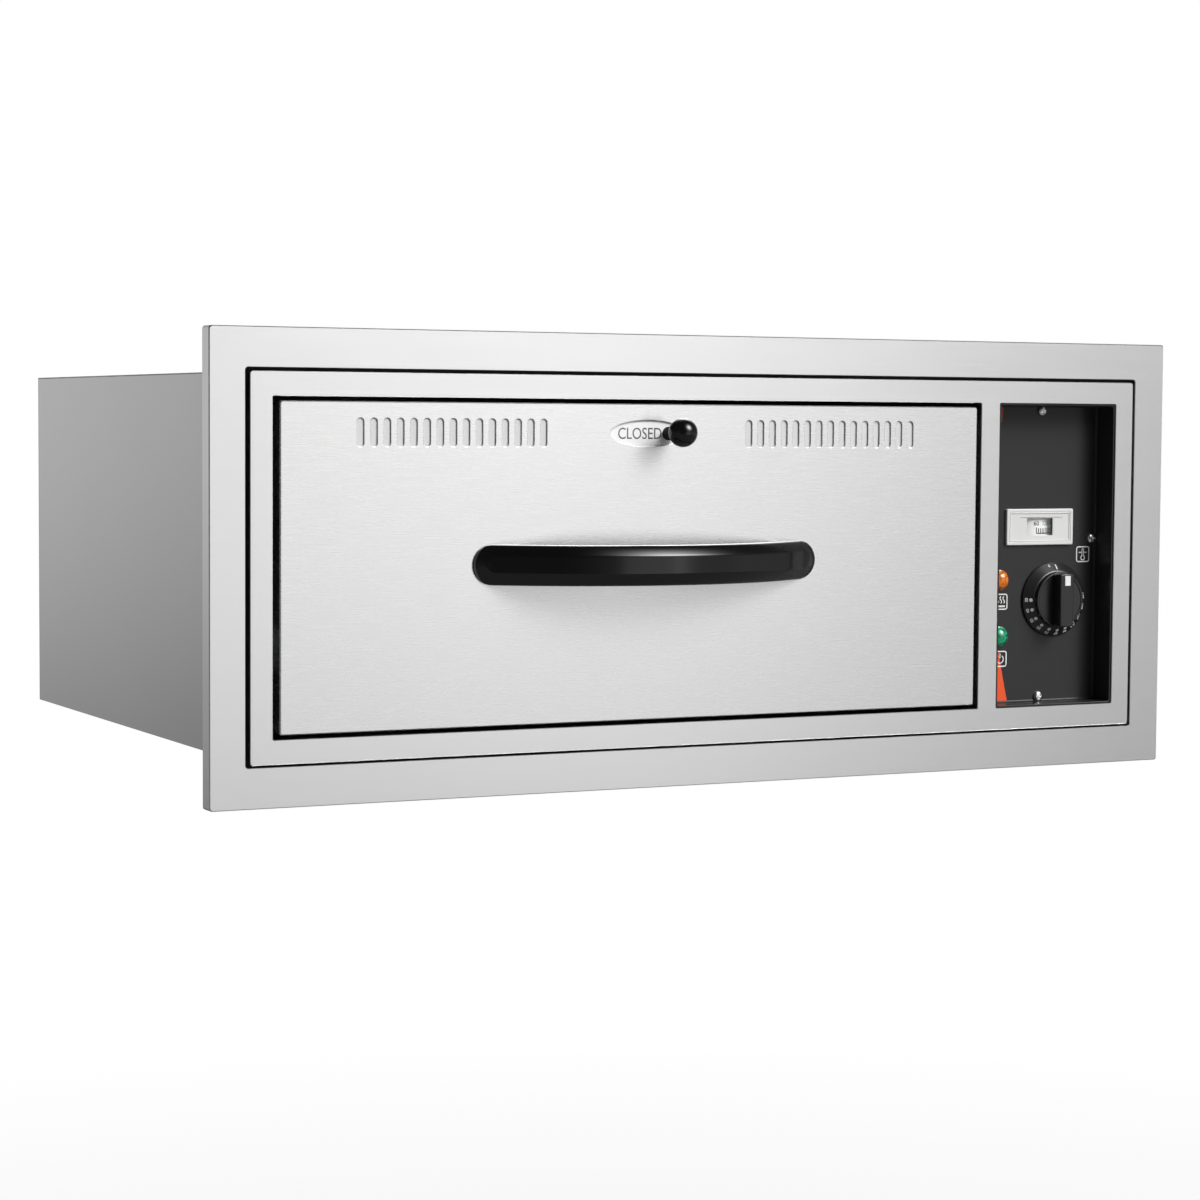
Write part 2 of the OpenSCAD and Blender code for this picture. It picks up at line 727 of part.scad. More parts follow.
module front_frame() color(steel) difference() {
    union() {
        difference() {
            slab(-half_w, half_w, face_y, face_y + frame_t, 0, body_h);
            slab(open_x0, open_x1, face_y - 1, skin_y + 1, open_z0, open_z1);
            slab(control_x0, control_x1, face_y - 1, skin_y + 1, recess_z0, recess_z1);
        }
        // outer folds, with the laps inside the casing
        tube_y(-half_w + frame_t, half_w - frame_t, frame_t, body_h - frame_t, frame_t,
            face_y + frame_t / 2, groove_y);
        tube_y(-half_w + lap_in, half_w - lap_in, lap_in, body_h - lap_in, lap_in,
            groove_y - 2 * frame_t, groove_y);
        tube_y(-half_w + lap_in, half_w - lap_in, lap_in, body_h - lap_in, frame_t,
            groove_y - frame_t, blanket_y);
        // folds round the drawer opening
        tube_y(open_x0, open_x1, open_z0, open_z1, frame_t, face_y + frame_t / 2, hem_y);
        // walls of the control recess, with the flange that carries the panel
        tube_y(control_x0, control_x1, recess_z0, recess_z1, frame_t, face_y + frame_t / 2,
            behind_y + frame_t);
        difference() {
            slab(control_x0, control_x1, behind_y, behind_y + frame_t, recess_z0, recess_z1);
            slab(control_x0 + flange_w, control_x1 - flange_w, behind_y - 1, behind_y + frame_t + 1,
                recess_z0 + flange_w, recess_z1 - flange_w);
        }
    }
    at_brackets() peg_x(trim_screw_y, 0, trim_screw_r, -lap_in - 1, 1);
    for (z = lens_z) peg_y(lamp_x, z, lens_r + hole_clear, behind_y - 1, behind_y + frame_t + 1);
    at_panel_screws() peg_y(0, 0, screw_r, behind_y - 1, behind_y + frame_t + 1);
}

module casing_shell() color(steel) difference() {
    union() {
        slab(-half_w, half_w, groove_y, cover_y, 0, casing_t);
        for (s = [0, 1]) mirror([s, 0, 0]) {
            slab(half_w - casing_t, half_w, groove_y, cover_y, 0, top_z);
            slab(half_w - rim_w, half_w, blanket_y, cover_y, top_z - casing_t, top_z);
            slab(half_w - rim_w, half_w, rear_rim_y, cover_y, 0, top_z);
        }
        slab(-half_w, half_w, rear_rim_y, cover_y, 0, rim_w);
        slab(-half_w, half_w, cover_y - rim_w, cover_y, top_z - casing_t, top_z);
    }
    at_brackets() peg_x(trim_screw_y, 0, trim_screw_r + hole_clear, -casing_t - 1, 1);
    at_top_screws() screw_hole(screw_r, 2 * casing_t);
    at_rear_screws() screw_hole(screw_r, 2 * casing_t);
}

// hole for a cover screw, deep enough for what lies within depth under the cover's face
module screw_hole(r, depth) {
    translate([0, 0, -depth - 1]) cylinder(h = depth + 2, r = r);
}

module at_top_screws() {
    for (x = rear_screw_x) translate([x, cover_screw_in, body_h]) children();
    for (x = bottom_screw_x) translate([x, cover_y - rim_w / 2, body_h]) children();
}

module at_rear_screws() {
    for (x = rear_screw_x, z = rear_screw_z) translate([x, rear_y, z]) rotate([-90, 0, 0]) children();
    for (x = bottom_screw_x) translate([x, rear_y, rim_w / 2]) rotate([-90, 0, 0]) children();
}

module top_cover() color(galvanised) difference() {
    slab(-half_w, half_w, groove_y, cover_y, top_z, body_h);
    at_brackets() peg_x(trim_screw_y, 0, trim_screw_r + hole_clear, -casing_t - 1, 1);
    at_top_screws() screw_hole(screw_r + hole_clear, casing_t);
}

module rear_cover() color(galvanised) difference() {
    slab(-half_w, half_w, cover_y, rear_y, 0, body_h);
    at_rear_screws() screw_hole(screw_r + hole_clear, casing_t);
    peg_y(gland_x, gland_z, gland_r + hole_clear, cover_y - 1, rear_y + 1);
    // cooling slots of the control compartment
    for (i = [0:cool_count - 1]) translate([recess_cx, rear_y + 1, body_h - cool_drop - i * cool_pitch])
        rotate([90, 90, 0]) linear_extrude(height = casing_t + 2) slot_2d(cool_w, cool_l);
}

module cover_screws() color(galvanised) {
    at_top_screws() screw(screw_head_r, screw_head_h, screw_r, cover_bite);
    at_rear_screws() screw(screw_head_r, screw_head_h, screw_r, cover_bite);
}

module liner() color(galvanised) difference() {
    union() {
        slab(liner_x0 - liner_t, liner_x1 + liner_t, skin_y, liner_y,
            liner_z0 - liner_t, liner_z1 + liner_t);
        slab(liner_x0 - liner_t - liner_flange, liner_x1 + liner_t + liner_flange, skin_y,
            skin_y + liner_t, liner_z0 - liner_t - liner_flange, liner_z1 + liner_t + liner_flange);
    }
    slab(liner_x0, liner_x1, skin_y - 1, liner_y - liner_t, liner_z0, liner_z1);
    compartment_holes(heater_r + blanket_clear, liner_x1 - 1, liner_x1 + liner_t + 1);
}

// holes for the ends of the heating element and for the capillary
module compartment_holes(r, x0, x1) {
    for (i = [0, 3]) peg_x(heater_runs[i], heater_z, r, x0, x1);
    peg_x(capillary_y, bulb_z, capillary_r + blanket_clear, x0, x1);
}

module insulation_top() color(wool)
    slab(liner_x0 - liner_t, partition_x - liner_t, blanket_y, liner_y, liner_z1 + liner_t,
        top_z - casing_t);

module insulation_bottom() color(wool)
    slab(liner_x0 - liner_t, partition_x - liner_t, blanket_y, liner_y, casing_t,
        liner_z0 - liner_t);

module insulation_left() color(wool) difference() {
    slab(-half_w + casing_t, liner_x0 - liner_t, blanket_y, liner_y, casing_t, top_z - casing_t);
    at_top_screws() screw_hole(screw_r + blanket_clear, cover_bite);
}

module insulation_right() color(wool) difference() {
    slab(liner_x1 + liner_t, partition_x - liner_t, blanket_y, liner_y, liner_z0 - liner_t,
        liner_z1 + liner_t);
    compartment_holes(heater_r + blanket_clear, liner_x1, partition_x);
}

module insulation_rear() color(wool) difference() {
    slab(-half_w + casing_t, partition_x - liner_t, liner_y, rear_rim_y, casing_t,
        top_z - casing_t);
    at_top_screws() screw_hole(screw_r + blanket_clear, cover_bite);
    at_rear_screws() screw_hole(screw_r + blanket_clear, cover_bite);
}

module partition() color(galvanised) difference() {
    slab(partition_x - liner_t, partition_x, blanket_y, rear_rim_y, casing_t, top_z - casing_t);
    compartment_holes(heater_r + bush_wall, partition_x - 2, partition_x + 1);
}

module heater_element() color([0.35, 0.34, 0.33]) {
    for (i = [0:3]) {
        x1 = (i == 0 || i == 3) ? heater_end : heater_right;
        peg_x(heater_runs[i], heater_z, heater_r, heater_left, x1);
    }
    for (i = [0, 2]) translate([heater_left, heater_runs[i] + heater_bend, heater_z])
        rotate([0, 0, 90]) rotate_extrude(angle = 180) translate([heater_bend, 0]) circle(r = heater_r);
    translate([heater_right, heater_runs[1] + heater_bend, heater_z])
        rotate([0, 0, -90]) rotate_extrude(angle = 180) translate([heater_bend, 0]) circle(r = heater_r);
    for (i = [0, 3]) peg_x(heater_runs[i], heater_z, heater_r / 2, heater_end - 1, heater_end + heater_pin);
}

module heater_clips() color(steel) {
    w = clip_w / 2;
    for (x = [heater_left + clip_in, heater_right - clip_in], y = heater_runs) difference() {
        union() {
            peg_x(y, heater_z, heater_r + clip_wall, x - w, x + w);
            slab(x - w, x + w, y - clip_wall, y + clip_wall, liner_z0, heater_z);
            slab(x - w, x + w, y - clip_foot / 2, y + clip_foot / 2, liner_z0, liner_z0 + clip_wall);
        }
        peg_x(y, heater_z, heater_r, x - w - 1, x + w + 1);
    }
}

module heater_bushes() color([0.9, 0.88, 0.82]) {
    for (i = [0, 3]) difference() {
        union() {
            peg_x(heater_runs[i], heater_z, heater_r + bush_wall + bush_flange, partition_x,
                partition_x + bush_flange);
            peg_x(heater_runs[i], heater_z, heater_r + bush_wall, partition_x - liner_t,
                partition_x + bush_flange / 2);
        }
        peg_x(heater_runs[i], heater_z, heater_r, partition_x - liner_t - 1,
            partition_x + bush_flange + 1);
    }
}

module at_panel_screws() {
    for (z = [recess_z0 + screw_inset, recess_z1 - screw_inset]) translate([recess_cx, 0, z]) children();
    for (x = [control_x0 + screw_inset, control_x1 - screw_inset])
        translate([x, 0, recess_z0 + side_screw_z]) children();
}

module control_panel() color(black) difference() {
    slab(control_x0 + panel_gap, control_x1 - panel_gap, skin_y, behind_y,
        recess_z0 + panel_gap, recess_z1 - panel_gap);
    slab(control_x0 + panel_gap + panel_t, control_x1 - panel_gap - panel_t, skin_y - 1, panel_y,
        recess_z0 + panel_gap + panel_t, recess_z1 - panel_gap - panel_t);
    at_panel_screws() peg_y(0, 0, screw_r + hole_clear, panel_y - 1, behind_y + 1);
    peg_y(knob_x, knob_z, collar_r + hole_clear, panel_y - 1, behind_y + 1);
    for (z = lens_z) peg_y(lamp_x, z, lens_r - lens_edge, panel_y - 1, behind_y + 1);
    slab(thermo_x - case_w / 2, thermo_x + case_w / 2, panel_y - 1, behind_y + 1,
        thermo_z - case_h / 2, thermo_z + case_h / 2);
}

module control_screws() color(steel)
    at_panel_screws() translate([0, panel_y, 0]) rotate([90, 0, 0])
        screw(screw_head_r, screw_head_h, screw_r, panel_t + frame_t + screw_end);

module thermometer_bezel() color([0.9, 0.9, 0.89]) {
    tube_y(thermo_x - sleeve_w / 2, thermo_x + sleeve_w / 2, thermo_z - sleeve_h / 2,
        thermo_z + sleeve_h / 2, bezel_rim, panel_y - bezel_out, panel_y);
    tube_y(thermo_x - sleeve_w / 2, thermo_x + sleeve_w / 2, thermo_z - sleeve_h / 2,
        thermo_z + sleeve_h / 2, sleeve_t, panel_y - bezel_out / 2, sleeve_y);
}

module thermometer_window() color([0.85, 0.9, 0.92, 0.3])
    slab(thermo_x - sleeve_w / 2, thermo_x + sleeve_w / 2, pane_y, pane_y + pane_t,
        thermo_z - sleeve_h / 2, thermo_z + sleeve_h / 2);

module thermometer_mask() color([0.93, 0.93, 0.91]) difference() {
    slab(thermo_x - sleeve_w / 2, thermo_x + sleeve_w / 2, mask_y, mask_y + mask_t,
        thermo_z - sleeve_h / 2, thermo_z + sleeve_h / 2);
    slab(thermo_x - window_w / 2, thermo_x + window_w / 2, mask_y - 1, mask_y + mask_t + 1,
        thermo_z - window_h / 2, thermo_z + window_h / 2);
}

module thermometer_case() color(black) difference() {
    slab(thermo_x - case_w / 2, thermo_x + case_w / 2, sleeve_y, case_y,
        thermo_z - case_h / 2, thermo_z + case_h / 2);
    slab(thermo_x - case_w / 2 + case_t, thermo_x + case_w / 2 - case_t, sleeve_y - 1,
        case_y - case_t, thermo_z - case_h / 2 + case_t, thermo_z + case_h / 2 - case_t);
    peg_z(thermo_x, drum_y, axle_r + axle_fit, thermo_z - case_h, thermo_z + case_h);
}

module thermometer_drum() color([0.93, 0.93, 0.91]) difference() {
    union() {
        peg_z(thermo_x, drum_y, drum_r, thermo_z - drum_h / 2, thermo_z + drum_h / 2);
        peg_z(thermo_x, drum_y, axle_r, thermo_z - case_h / 2, thermo_z + case_h / 2);
    }
    difference() {
        peg_z(thermo_x, drum_y, drum_r - drum_t, thermo_z - drum_h / 2 - 1, thermo_z + drum_h / 2 - drum_t);
        peg_z(thermo_x, drum_y, axle_r + drum_t, thermo_z - drum_h / 2 - 2, thermo_z + drum_h / 2);
    }
}

module lens(z) {
    cap_r = lens_r - lens_edge / 2;
    sphere_r = (cap_r * cap_r + dome_h * dome_h) / (2 * dome_h);
    translate([lamp_x, panel_y, z]) rotate([90, 0, 0]) {
        cylinder(h = lens_edge, r = lens_r);
        intersection() {
            translate([0, 0, lens_edge + dome_h - sphere_r]) sphere(r = sphere_r);
            translate([0, 0, lens_edge / 2]) cylinder(h = lens_edge + dome_h, r = cap_r);
        }
        translate([0, 0, -panel_t]) cylinder(h = panel_t + lens_edge / 2, r = lens_r - lens_edge);
    }
}

module lamp_lens_orange() color([0.85, 0.38, 0.05]) lens(lens_z[0]);

module lamp_lens_green() color([0.05, 0.55, 0.36]) lens(lens_z[1]);

module lamp_bodies() color(black) for (z = lens_z) {
    peg_y(lamp_x, z, lens_r, behind_y, behind_y + lamp_d);
    for (s = [-1, 1]) blade(lamp_x + s * lamp_blade_x, behind_y + lamp_d, z);
}

// terminal blade standing out of a body's back at y
module blade(x, y, z) {
    slab(x - blade_t / 2, x + blade_t / 2, y - 1, y + blade_l, z - blade_h / 2, z + blade_h / 2);
}

module thermostat_body() color([0.75, 0.73, 0.68]) difference() {
    union() {
        slab(knob_x - stat_w / 2, knob_x + stat_w / 2, stat_y, stat_y + stat_d,
            knob_z - stat_w / 2, knob_z + stat_w / 2);
        peg_y(knob_x, knob_z, collar_r, panel_y - collar_out, stat_y + 1);
        peg_y(knob_x, knob_z, collar_r + nut_edge, behind_y, stat_y + 1);
        for (s = [-1, 1]) blade(knob_x + s * blade_x, stat_y + stat_d, knob_z);
    }
    peg_y(knob_x, knob_z, shaft_r + shaft_fit, panel_y - collar_out - 1, stat_y + stat_d - bore_end);
}

module thermostat_nut() color(galvanised) difference() {
    translate([knob_x, panel_y, knob_z]) rotate([90, 0, 0])
        cylinder(h = nut_t, r = collar_r + nut_edge, $fn = 6);
    peg_y(knob_x, knob_z, collar_r, panel_y - nut_t - 1, panel_y + 1);
}

module thermostat_shaft() color(steel)
    peg_y(knob_x, knob_z, shaft_r, knob_front_y + knob_skin, stat_y + stat_d - shaft_end);

module thermostat_knob() color(black) difference() {
    union() {
        translate([knob_x, knob_base_y, knob_z]) rotate([90, 0, 0]) {
            cylinder(h = knob_edge, r = knob_r);
            translate([0, 0, knob_edge]) cylinder(h = skirt_h - knob_edge, r1 = knob_r, r2 = face_r);
        }
        // grip bar, its ends on the rim of the face
        intersection() {
            slab(knob_x - grip_w / 2, knob_x + grip_w / 2, knob_front_y, knob_face_y + 1,
                knob_z - face_r, knob_z + face_r);
            peg_y(knob_x, knob_z, face_r - knob_edge / 2, knob_front_y - 1, knob_face_y + 2);
        }
    }
    // hollow over the nut
    peg_y(knob_x, knob_z, collar_r + hollow_clear, knob_base_y - hollow_clear, knob_base_y + 1);
    peg_y(knob_x, knob_z, shaft_r, knob_front_y + knob_skin, knob_base_y + 1);
}

module capillary_bulb() color([0.72, 0.45, 0.25]) {
    z = knob_z + capillary_up;
    tube_path([[knob_x, stat_y + stat_d, z], [knob_x, capillary_y, z], [knob_x, capillary_y, bulb_z],
        [bulb_x, capillary_y, bulb_z], [bulb_x, bulb_y + 2, bulb_z]], capillary_r);
    peg_y(bulb_x, bulb_z, bulb_r, bulb_y, bulb_y + bulb_l);
}

module bulb_clips() color(steel) for (k = [0.2, 0.8]) {
    y = bulb_y + bulb_l * k;
    difference() {
        union() {
            peg_y(bulb_x, bulb_z, bulb_r + bulb_clip, y - clip_w / 2, y + clip_w / 2);
            slab(bulb_x, liner_x1, y - clip_w / 2, y + clip_w / 2, bulb_z - clip_wall, bulb_z + clip_wall);
        }
        peg_y(bulb_x, bulb_z, bulb_r, y - clip_w / 2 - 1, y + clip_w / 2 + 1);
    }
}

module terminal_block() color([0.88, 0.86, 0.8]) difference() {
    d = terminal_d / 2;
    slab(terminal_x - terminal_w / 2, terminal_x + terminal_w / 2, terminal_y - d, terminal_y + d,
        casing_t, casing_t + terminal_h);
    for (i = [-2:2]) {
        peg_z(terminal_x + i * pole_pitch, terminal_y, pole_r, pole_z + pole_r, casing_t + terminal_h + 1);
        peg_y(terminal_x + i * pole_pitch, pole_z, pole_r, terminal_y - d - 1, terminal_y + d + 1);
    }
}

module wiring() color([0.55, 0.2, 0.15]) {
    front_y = terminal_y - terminal_d / 2;
    for (k = [0, 1]) wire(lamp_x + (2 * k - 1) * lamp_blade_x, behind_y + lamp_d + blade_l - 1,
        lens_z[k], wire_out * (k + 1), terminal_x + (k - 2) * pole_pitch, front_y);
    wire(knob_x + blade_x, stat_y + stat_d + blade_l - 1, knob_z, wire_out, terminal_x + pole_pitch,
        front_y);
    swept_wire([[heater_end + heater_pin - 1, heater_runs[3], heater_z],
        [heater_end + heater_pin + wire_out / 3, heater_runs[3], heater_z],
        [terminal_x, front_y - wire_out / 2, pole_z], [terminal_x, front_y + 3, pole_z]], wire_r);
}

// ring of points round a path at its point i, in the plane that halves the bend there
function heading(path, i) = (path[i + 1] - path[i]) / norm(path[i + 1] - path[i]);
function ring_at(path, i, r, n) = i == 0
    ? let (d = heading(path, 0), u = cross(d, [0, 0, 1]), v = cross(d, u))
        [for (k = [0:n - 1]) path[0] + r * (cos(360 * k / n) * u + sin(360 * k / n) * v)]
    : let (d = heading(path, i - 1), m = i == len(path) - 1 ? d : d + heading(path, i))
        [for (p = ring_at(path, i - 1, r, n)) p + d * (((path[i] - p) * m) / (d * m))];

// round wire along a path, mitred at each bend
module swept_wire(path, r, n = 10) {
    last = len(path) - 1;
    sides = [for (i = [0:last - 1], k = [0:n - 1])
        [i * n + k, (i + 1) * n + k, (i + 1) * n + (k + 1) % n, i * n + (k + 1) % n]];
    polyhedron([for (i = [0:last]) each ring_at(path, i, r, n)],
        concat([[for (k = [0:n - 1]) k]], sides, [[for (k = [n - 1:-1:0]) last * n + k]]));
}

// wire from a blade back, down, and into its pole of the terminal block
module wire(x, y, z, out, pole_x, front_y) {
    swept_wire([[x, y, z], [x, y + out, z], [x, y + out, pole_z], [pole_x, front_y - wire_out, pole_z],
        [pole_x, front_y + 3, pole_z]], wire_r);
}

module cord_gland() color(black) difference() {
    union() {
        peg_y(gland_x, gland_z, gland_r, cover_y - gland_in, rear_y + 1);
        peg_y(gland_x, gland_z, gland_r + gland_flange, rear_y, rear_y + gland_flange_t);
        peg_y(gland_x, gland_z, gland_r + gland_flange / 4, rear_y + 1, rear_y + gland_out);
    }
    peg_y(gland_x, gland_z, gland_bore_r, cover_y - gland_in - 1, rear_y + gland_out + 1);
}

module gland_nut() color(black) difference() {
    translate([gland_x, cover_y - gland_nut_t, gland_z]) rotate([-90, 0, 0])
        cylinder(h = gland_nut_t, r = gland_r + gland_flange, $fn = 6);
    peg_y(gland_x, gland_z, gland_r, cover_y - gland_nut_t - 1, cover_y + 1);
}

// slides: drawn in local u and z, then placed at the left wall or mirrored to the right wall
module at_slide(side) {
    if (side == "left") translate([liner_x0, 0, rail_foot]) children();
    else translate([liner_x1, 0, rail_foot]) mirror([1, 0, 0]) children();
}

module cabinet_rail(side) color(galvanised) at_slide(side) {
    slab(0, rail_t, rail_y0, rail_y1, 0, rail_h);
    slab(0, channel_w, rail_y0, rail_y1, 0, rail_t);
    slab(0, channel_w, stop_y + stop_t, rail_y1, rail_h - rail_t, rail_h);
    // stops of the open and the closed drawer
    slab(0, channel_w, stop_y, stop_y + stop_t, 0, roller_r * 0.7);
    slab(0, channel_w, rail_y1 - stop_t, rail_y1, 0, rail_h);
    // front roller pin with its riveted head
    peg_x(front_roller_y, front_roller_z, pin_r, rail_t / 2, head_u + pin_head / 2);
    peg_x(front_roller_y, front_roller_z, pin_r + pin_head, head_u, head_u + pin_head);
    peg_x(front_roller_y, front_roller_z, pin_r + pin_head, rail_t / 2, roller_u - roller_play);
}

module cabinet_rail_left() cabinet_rail("left");

module cabinet_rail_right() cabinet_rail("right");

module roller(side, y, z) color([0.92, 0.92, 0.9]) at_slide(side) difference() {
    peg_x(y, z, roller_r, roller_u, roller_u + roller_w);
    peg_x(y, z, pin_r + roller_fit, roller_u - 1, roller_u + roller_w + 1);
}

module roller_front_left() roller("left", front_roller_y, front_roller_z);

module roller_front_right() roller("right", front_roller_y, front_roller_z);

module roller_rear_left() roller("left", rear_roller_y, rear_roller_z);

module roller_rear_right() roller("right", rear_roller_y, rear_roller_z);

// drawer side: folded sheet with the ledge for the pan, the running flange and the rear pin
module drawer_side(side) color(galvanised) at_slide(side) {
    top = pan_z - rail_foot;
    low = rail_t + rail_clear;
    slab(slide_w, slide_w + side_t, inner_y, side_y1, low, top);
    slab(slide_w + side_t - ledge_w, slide_w + side_t, inner_y + side_t, side_y1, top - side_t, top);
    slab(slide_w + side_t - ledge_w, slide_w + side_t, inner_y, inner_y + side_t, run_z + tab_up, top);
    // running rail on the front roller
    slab(web_u, slide_w + side_t / 2, rail_y0, side_y1, low, run_z + rail_t);
    slab(roller_u - roller_play, slide_w, rail_y0, side_y1, run_z, run_z + rail_t);
    peg_x(rear_roller_y, rear_roller_z, pin_r, roller_u - roller_play - pin_head / 2, slide_w);
    peg_x(rear_roller_y, rear_roller_z, pin_r + pin_head, roller_u - roller_play - pin_head,
        roller_u - roller_play);
    peg_x(rear_roller_y, rear_roller_z, pin_r + pin_head, head_u, slide_w);
}

module drawer_side_left() drawer_side("left");

module drawer_side_right() drawer_side("right");

module drawer_rear_bar() color(galvanised) {
    x0 = drawer_cx - side_in;
    x1 = drawer_cx + side_in;
    slab(x0, x1, bar_y, bar_y + side_t, rail_foot + run_z, pan_z);
    slab(x0, x1, bar_y, bar_y + ledge_w, rail_foot + run_z, rail_foot + run_z + side_t);
    slab(x0, x1, bar_y, bar_y + ledge_w, pan_z - side_t, pan_z);
}

module pan_slice(inset, corner, z) {
    half_l = body_half - inset;
    half_d = pan_w / 2 - pan_rim - inset;
    for (sx = [-1, 1], sy = [-1, 1])
        translate([sx * (half_l - corner), sy * (half_d - corner), z]) cylinder(h = 0.01, r = corner, $fn = 32);
}

// body of the pan, or its inside at a wall's thickness, with a bend of 45 degrees at 0.3 of its radius
module pan_hollow(wall) {
    low = pan_taper + wall;
    hull() {
        pan_slice(wall, pan_corner - wall, 0.1);
        pan_slice(low, pan_corner - low, -pan_h + pan_bend);
        pan_slice(low + 0.3 * pan_bend, pan_corner - low - 0.3 * pan_bend, -pan_h + 0.3 * pan_bend + wall);
        pan_slice(low + pan_bend, pan_corner - low - 0.8 * pan_bend, -pan_h + wall);
    }
}

module food_pan() color(steel) translate([drawer_cx, (pan_y0 + pan_y1) / 2, pan_z]) difference() {
    union() {
        pan_hollow(0);
        // flat rim with a raised edge
        linear_extrude(height = pan_t) rim_2d(0, rim_corner);
        linear_extrude(height = pan_t + rim_edge) difference() {
            rim_2d(0, rim_corner);
            rim_2d(pan_t, rim_corner - pan_t);
        }
    }
    pan_hollow(pan_t);
    // mouth, a hair inside the walls
    translate([0, 0, -1]) linear_extrude(height = pan_t + rim_edge + 2)
        rim_2d(pan_rim + pan_t + 0.1, pan_corner - pan_t);
}

// outline of the rim, moved in by inset and with corners of radius r
module rim_2d(inset, r) {
    half_l = pan_l / 2 - inset;
    half_d = pan_w / 2 - inset;
    square([2 * half_l, 2 * (half_d - r)], center = true);
    square([2 * (half_l - r), 2 * half_d], center = true);
    for (sx = [-1, 1], sy = [-1, 1]) translate([sx * (half_l - r), sy * (half_d - r)]) circle(r = r);
}

module drawer_front() color(steel) difference() {
    slab(front_x0, front_x1, face_y, inner_y, front_z0, front_z1);
    slab(front_x0 + skin_t, front_x1 - skin_t, skin_back, inner_y + 1, front_z0 + skin_t,
        front_z1 - skin_t);
    slot_rows(slot_w, slot_h, face_y - 1, skin_back + 1, 0);
    translate([drawer_cx, skin_back + 1, vent_z]) rotate([90, 0, 0])
        linear_extrude(height = skin_t + 2) lens_2d(oval_w, oval_h);
    at_handle_screws() peg_y(0, 0, handle_screw_r + hole_clear, face_y - 1, skin_back + 1);
}

module at_handle_screws() {
    for (s = [-1, 1]) translate([drawer_cx + s * (handle_l / 2 - handle_screw_in), 0, handle_z])
        children();
}

module drawer_inner() color(galvanised) difference() {
    slab(front_x0 + skin_t, front_x1 - skin_t, inner_y - inner_t, inner_y, front_z0 + skin_t,
        front_z1 - skin_t);
    for (x0 = [group_left, group_right])
        slab(x0 - slot_w, x0 + group_w + slot_w, inner_y - inner_t - 1, inner_y + 1,
            vent_z - slot_h / 2, vent_z + slot_h / 2);
}

module front_insulation() color(wool) difference() {
    slab(front_x0 + skin_t, front_x1 - skin_t, skin_back, inner_y - inner_t, front_z0 + skin_t,
        vent_z - shutter_h / 2 - 2 * guide_w);
    at_handle_screws() peg_y(0, 0, washer_r + blanket_clear, skin_back - 1, inner_y);
}

module vent_guides() color(galvanised) for (s = [-1, 1]) {
    edge = shutter_h / 2;
    z_in = vent_z + s * (edge + vent_fit);
    z_out = vent_z + s * (edge + guide_w);
    z_lip = vent_z + s * (edge - guide_lap);
    lip_y = shutter_back + vent_fit;
    slab(guide_x0, guide_x1, skin_back, lip_y + guide_t, min(z_in, z_out), max(z_in, z_out));
    slab(guide_x0, guide_x1, lip_y, lip_y + guide_t, min(z_lip, z_out), max(z_lip, z_out));
}

module vent_shutter() color(steel) difference() {
    slab(shutter_x0, shutter_x1, shutter_y, shutter_back, vent_z - shutter_h / 2,
        vent_z + shutter_h / 2);
    slot_rows(shutter_slot_w, slot_h - 1, shutter_y - 1, shutter_back + 1, vent_travel);
    peg_y(stem_x, vent_z, neck_r, shutter_y - 1, shutter_back + 1);
}

module vent_label() color([0.95, 0.95, 0.94]) difference() {
    slab(label_x0, label_x1, label_y, shutter_y, vent_z - oval_h / 2 - label_edge,
        vent_z + oval_h / 2 + label_edge);
    peg_y(stem_x, vent_z, stem_r, label_y - 1, shutter_y + 1);
}

module vent_stem() color(black) {
    peg_y(stem_x, vent_z, stem_r, face_y - ball_out + ball_r - ball_socket, shutter_y);
    peg_y(stem_x, vent_z, neck_r, shutter_y - 1, shutter_back + rivet_t / 2);
    peg_y(stem_x, vent_z, neck_r + rivet_t, shutter_back, shutter_back + rivet_t);
}

// ball with a socket for the stem, turned about the stem's axis
module vent_knob() color(black) translate([stem_x, face_y - ball_out, vent_z]) rotate([-90, 0, 0])
    rotate_extrude() difference() {
        circle(r = ball_r, $fn = 96);
        translate([-2 * ball_r, -2 * ball_r]) square([2 * ball_r, 4 * ball_r]);
        translate([-1, ball_r - ball_socket]) square([stem_r + 1, ball_socket + 1]);
    }

// stadium outline of the handle in the plane of the drawer front
module handle_outline(length, height) {
    square([length - height, height], center = true);
    for (s = [-1, 1]) translate([s * (length - height) / 2, 0]) circle(d = height);
}

// segment of a circle over a chord, rising by rise along -Y
module bow_segment(half_chord, rise) {
    arc_r = (half_chord * half_chord + rise * rise) / (2 * rise);
    intersection() {
        translate([0, arc_r - rise]) circle(r = arc_r, $fn = 96);
        translate([-half_chord - 1, -rise - 1]) square([2 * half_chord + 2, rise + 1]);
    }
}

module handle() color(black) translate([drawer_cx, face_y, handle_z]) difference() {
    chord = handle_l / 2 - pad_end;
    intersection() {
        union() {
            translate([0, 0, -handle_h / 2]) linear_extrude(height = handle_h) difference() {
                bow_segment(chord, handle_out);
                translate([0, 1]) bow_segment(chord - 2 * handle_t, handle_out - handle_t + 1);
            }
            for (s = [0, 1]) mirror([s, 0, 0])
                slab(chord - 2 * handle_t, handle_l / 2, -pad_t, 0, -handle_h / 2, handle_h / 2);
        }
        translate([0, 1, 0]) rotate([90, 0, 0]) linear_extrude(height = handle_out + 2)
            handle_outline(handle_l, handle_h);
    }
    for (s = [-1, 1]) translate([s * (handle_l / 2 - handle_screw_in), 0, 0])
        peg_y(0, 0, handle_screw_r, -handle_bite - 1, 1);
}

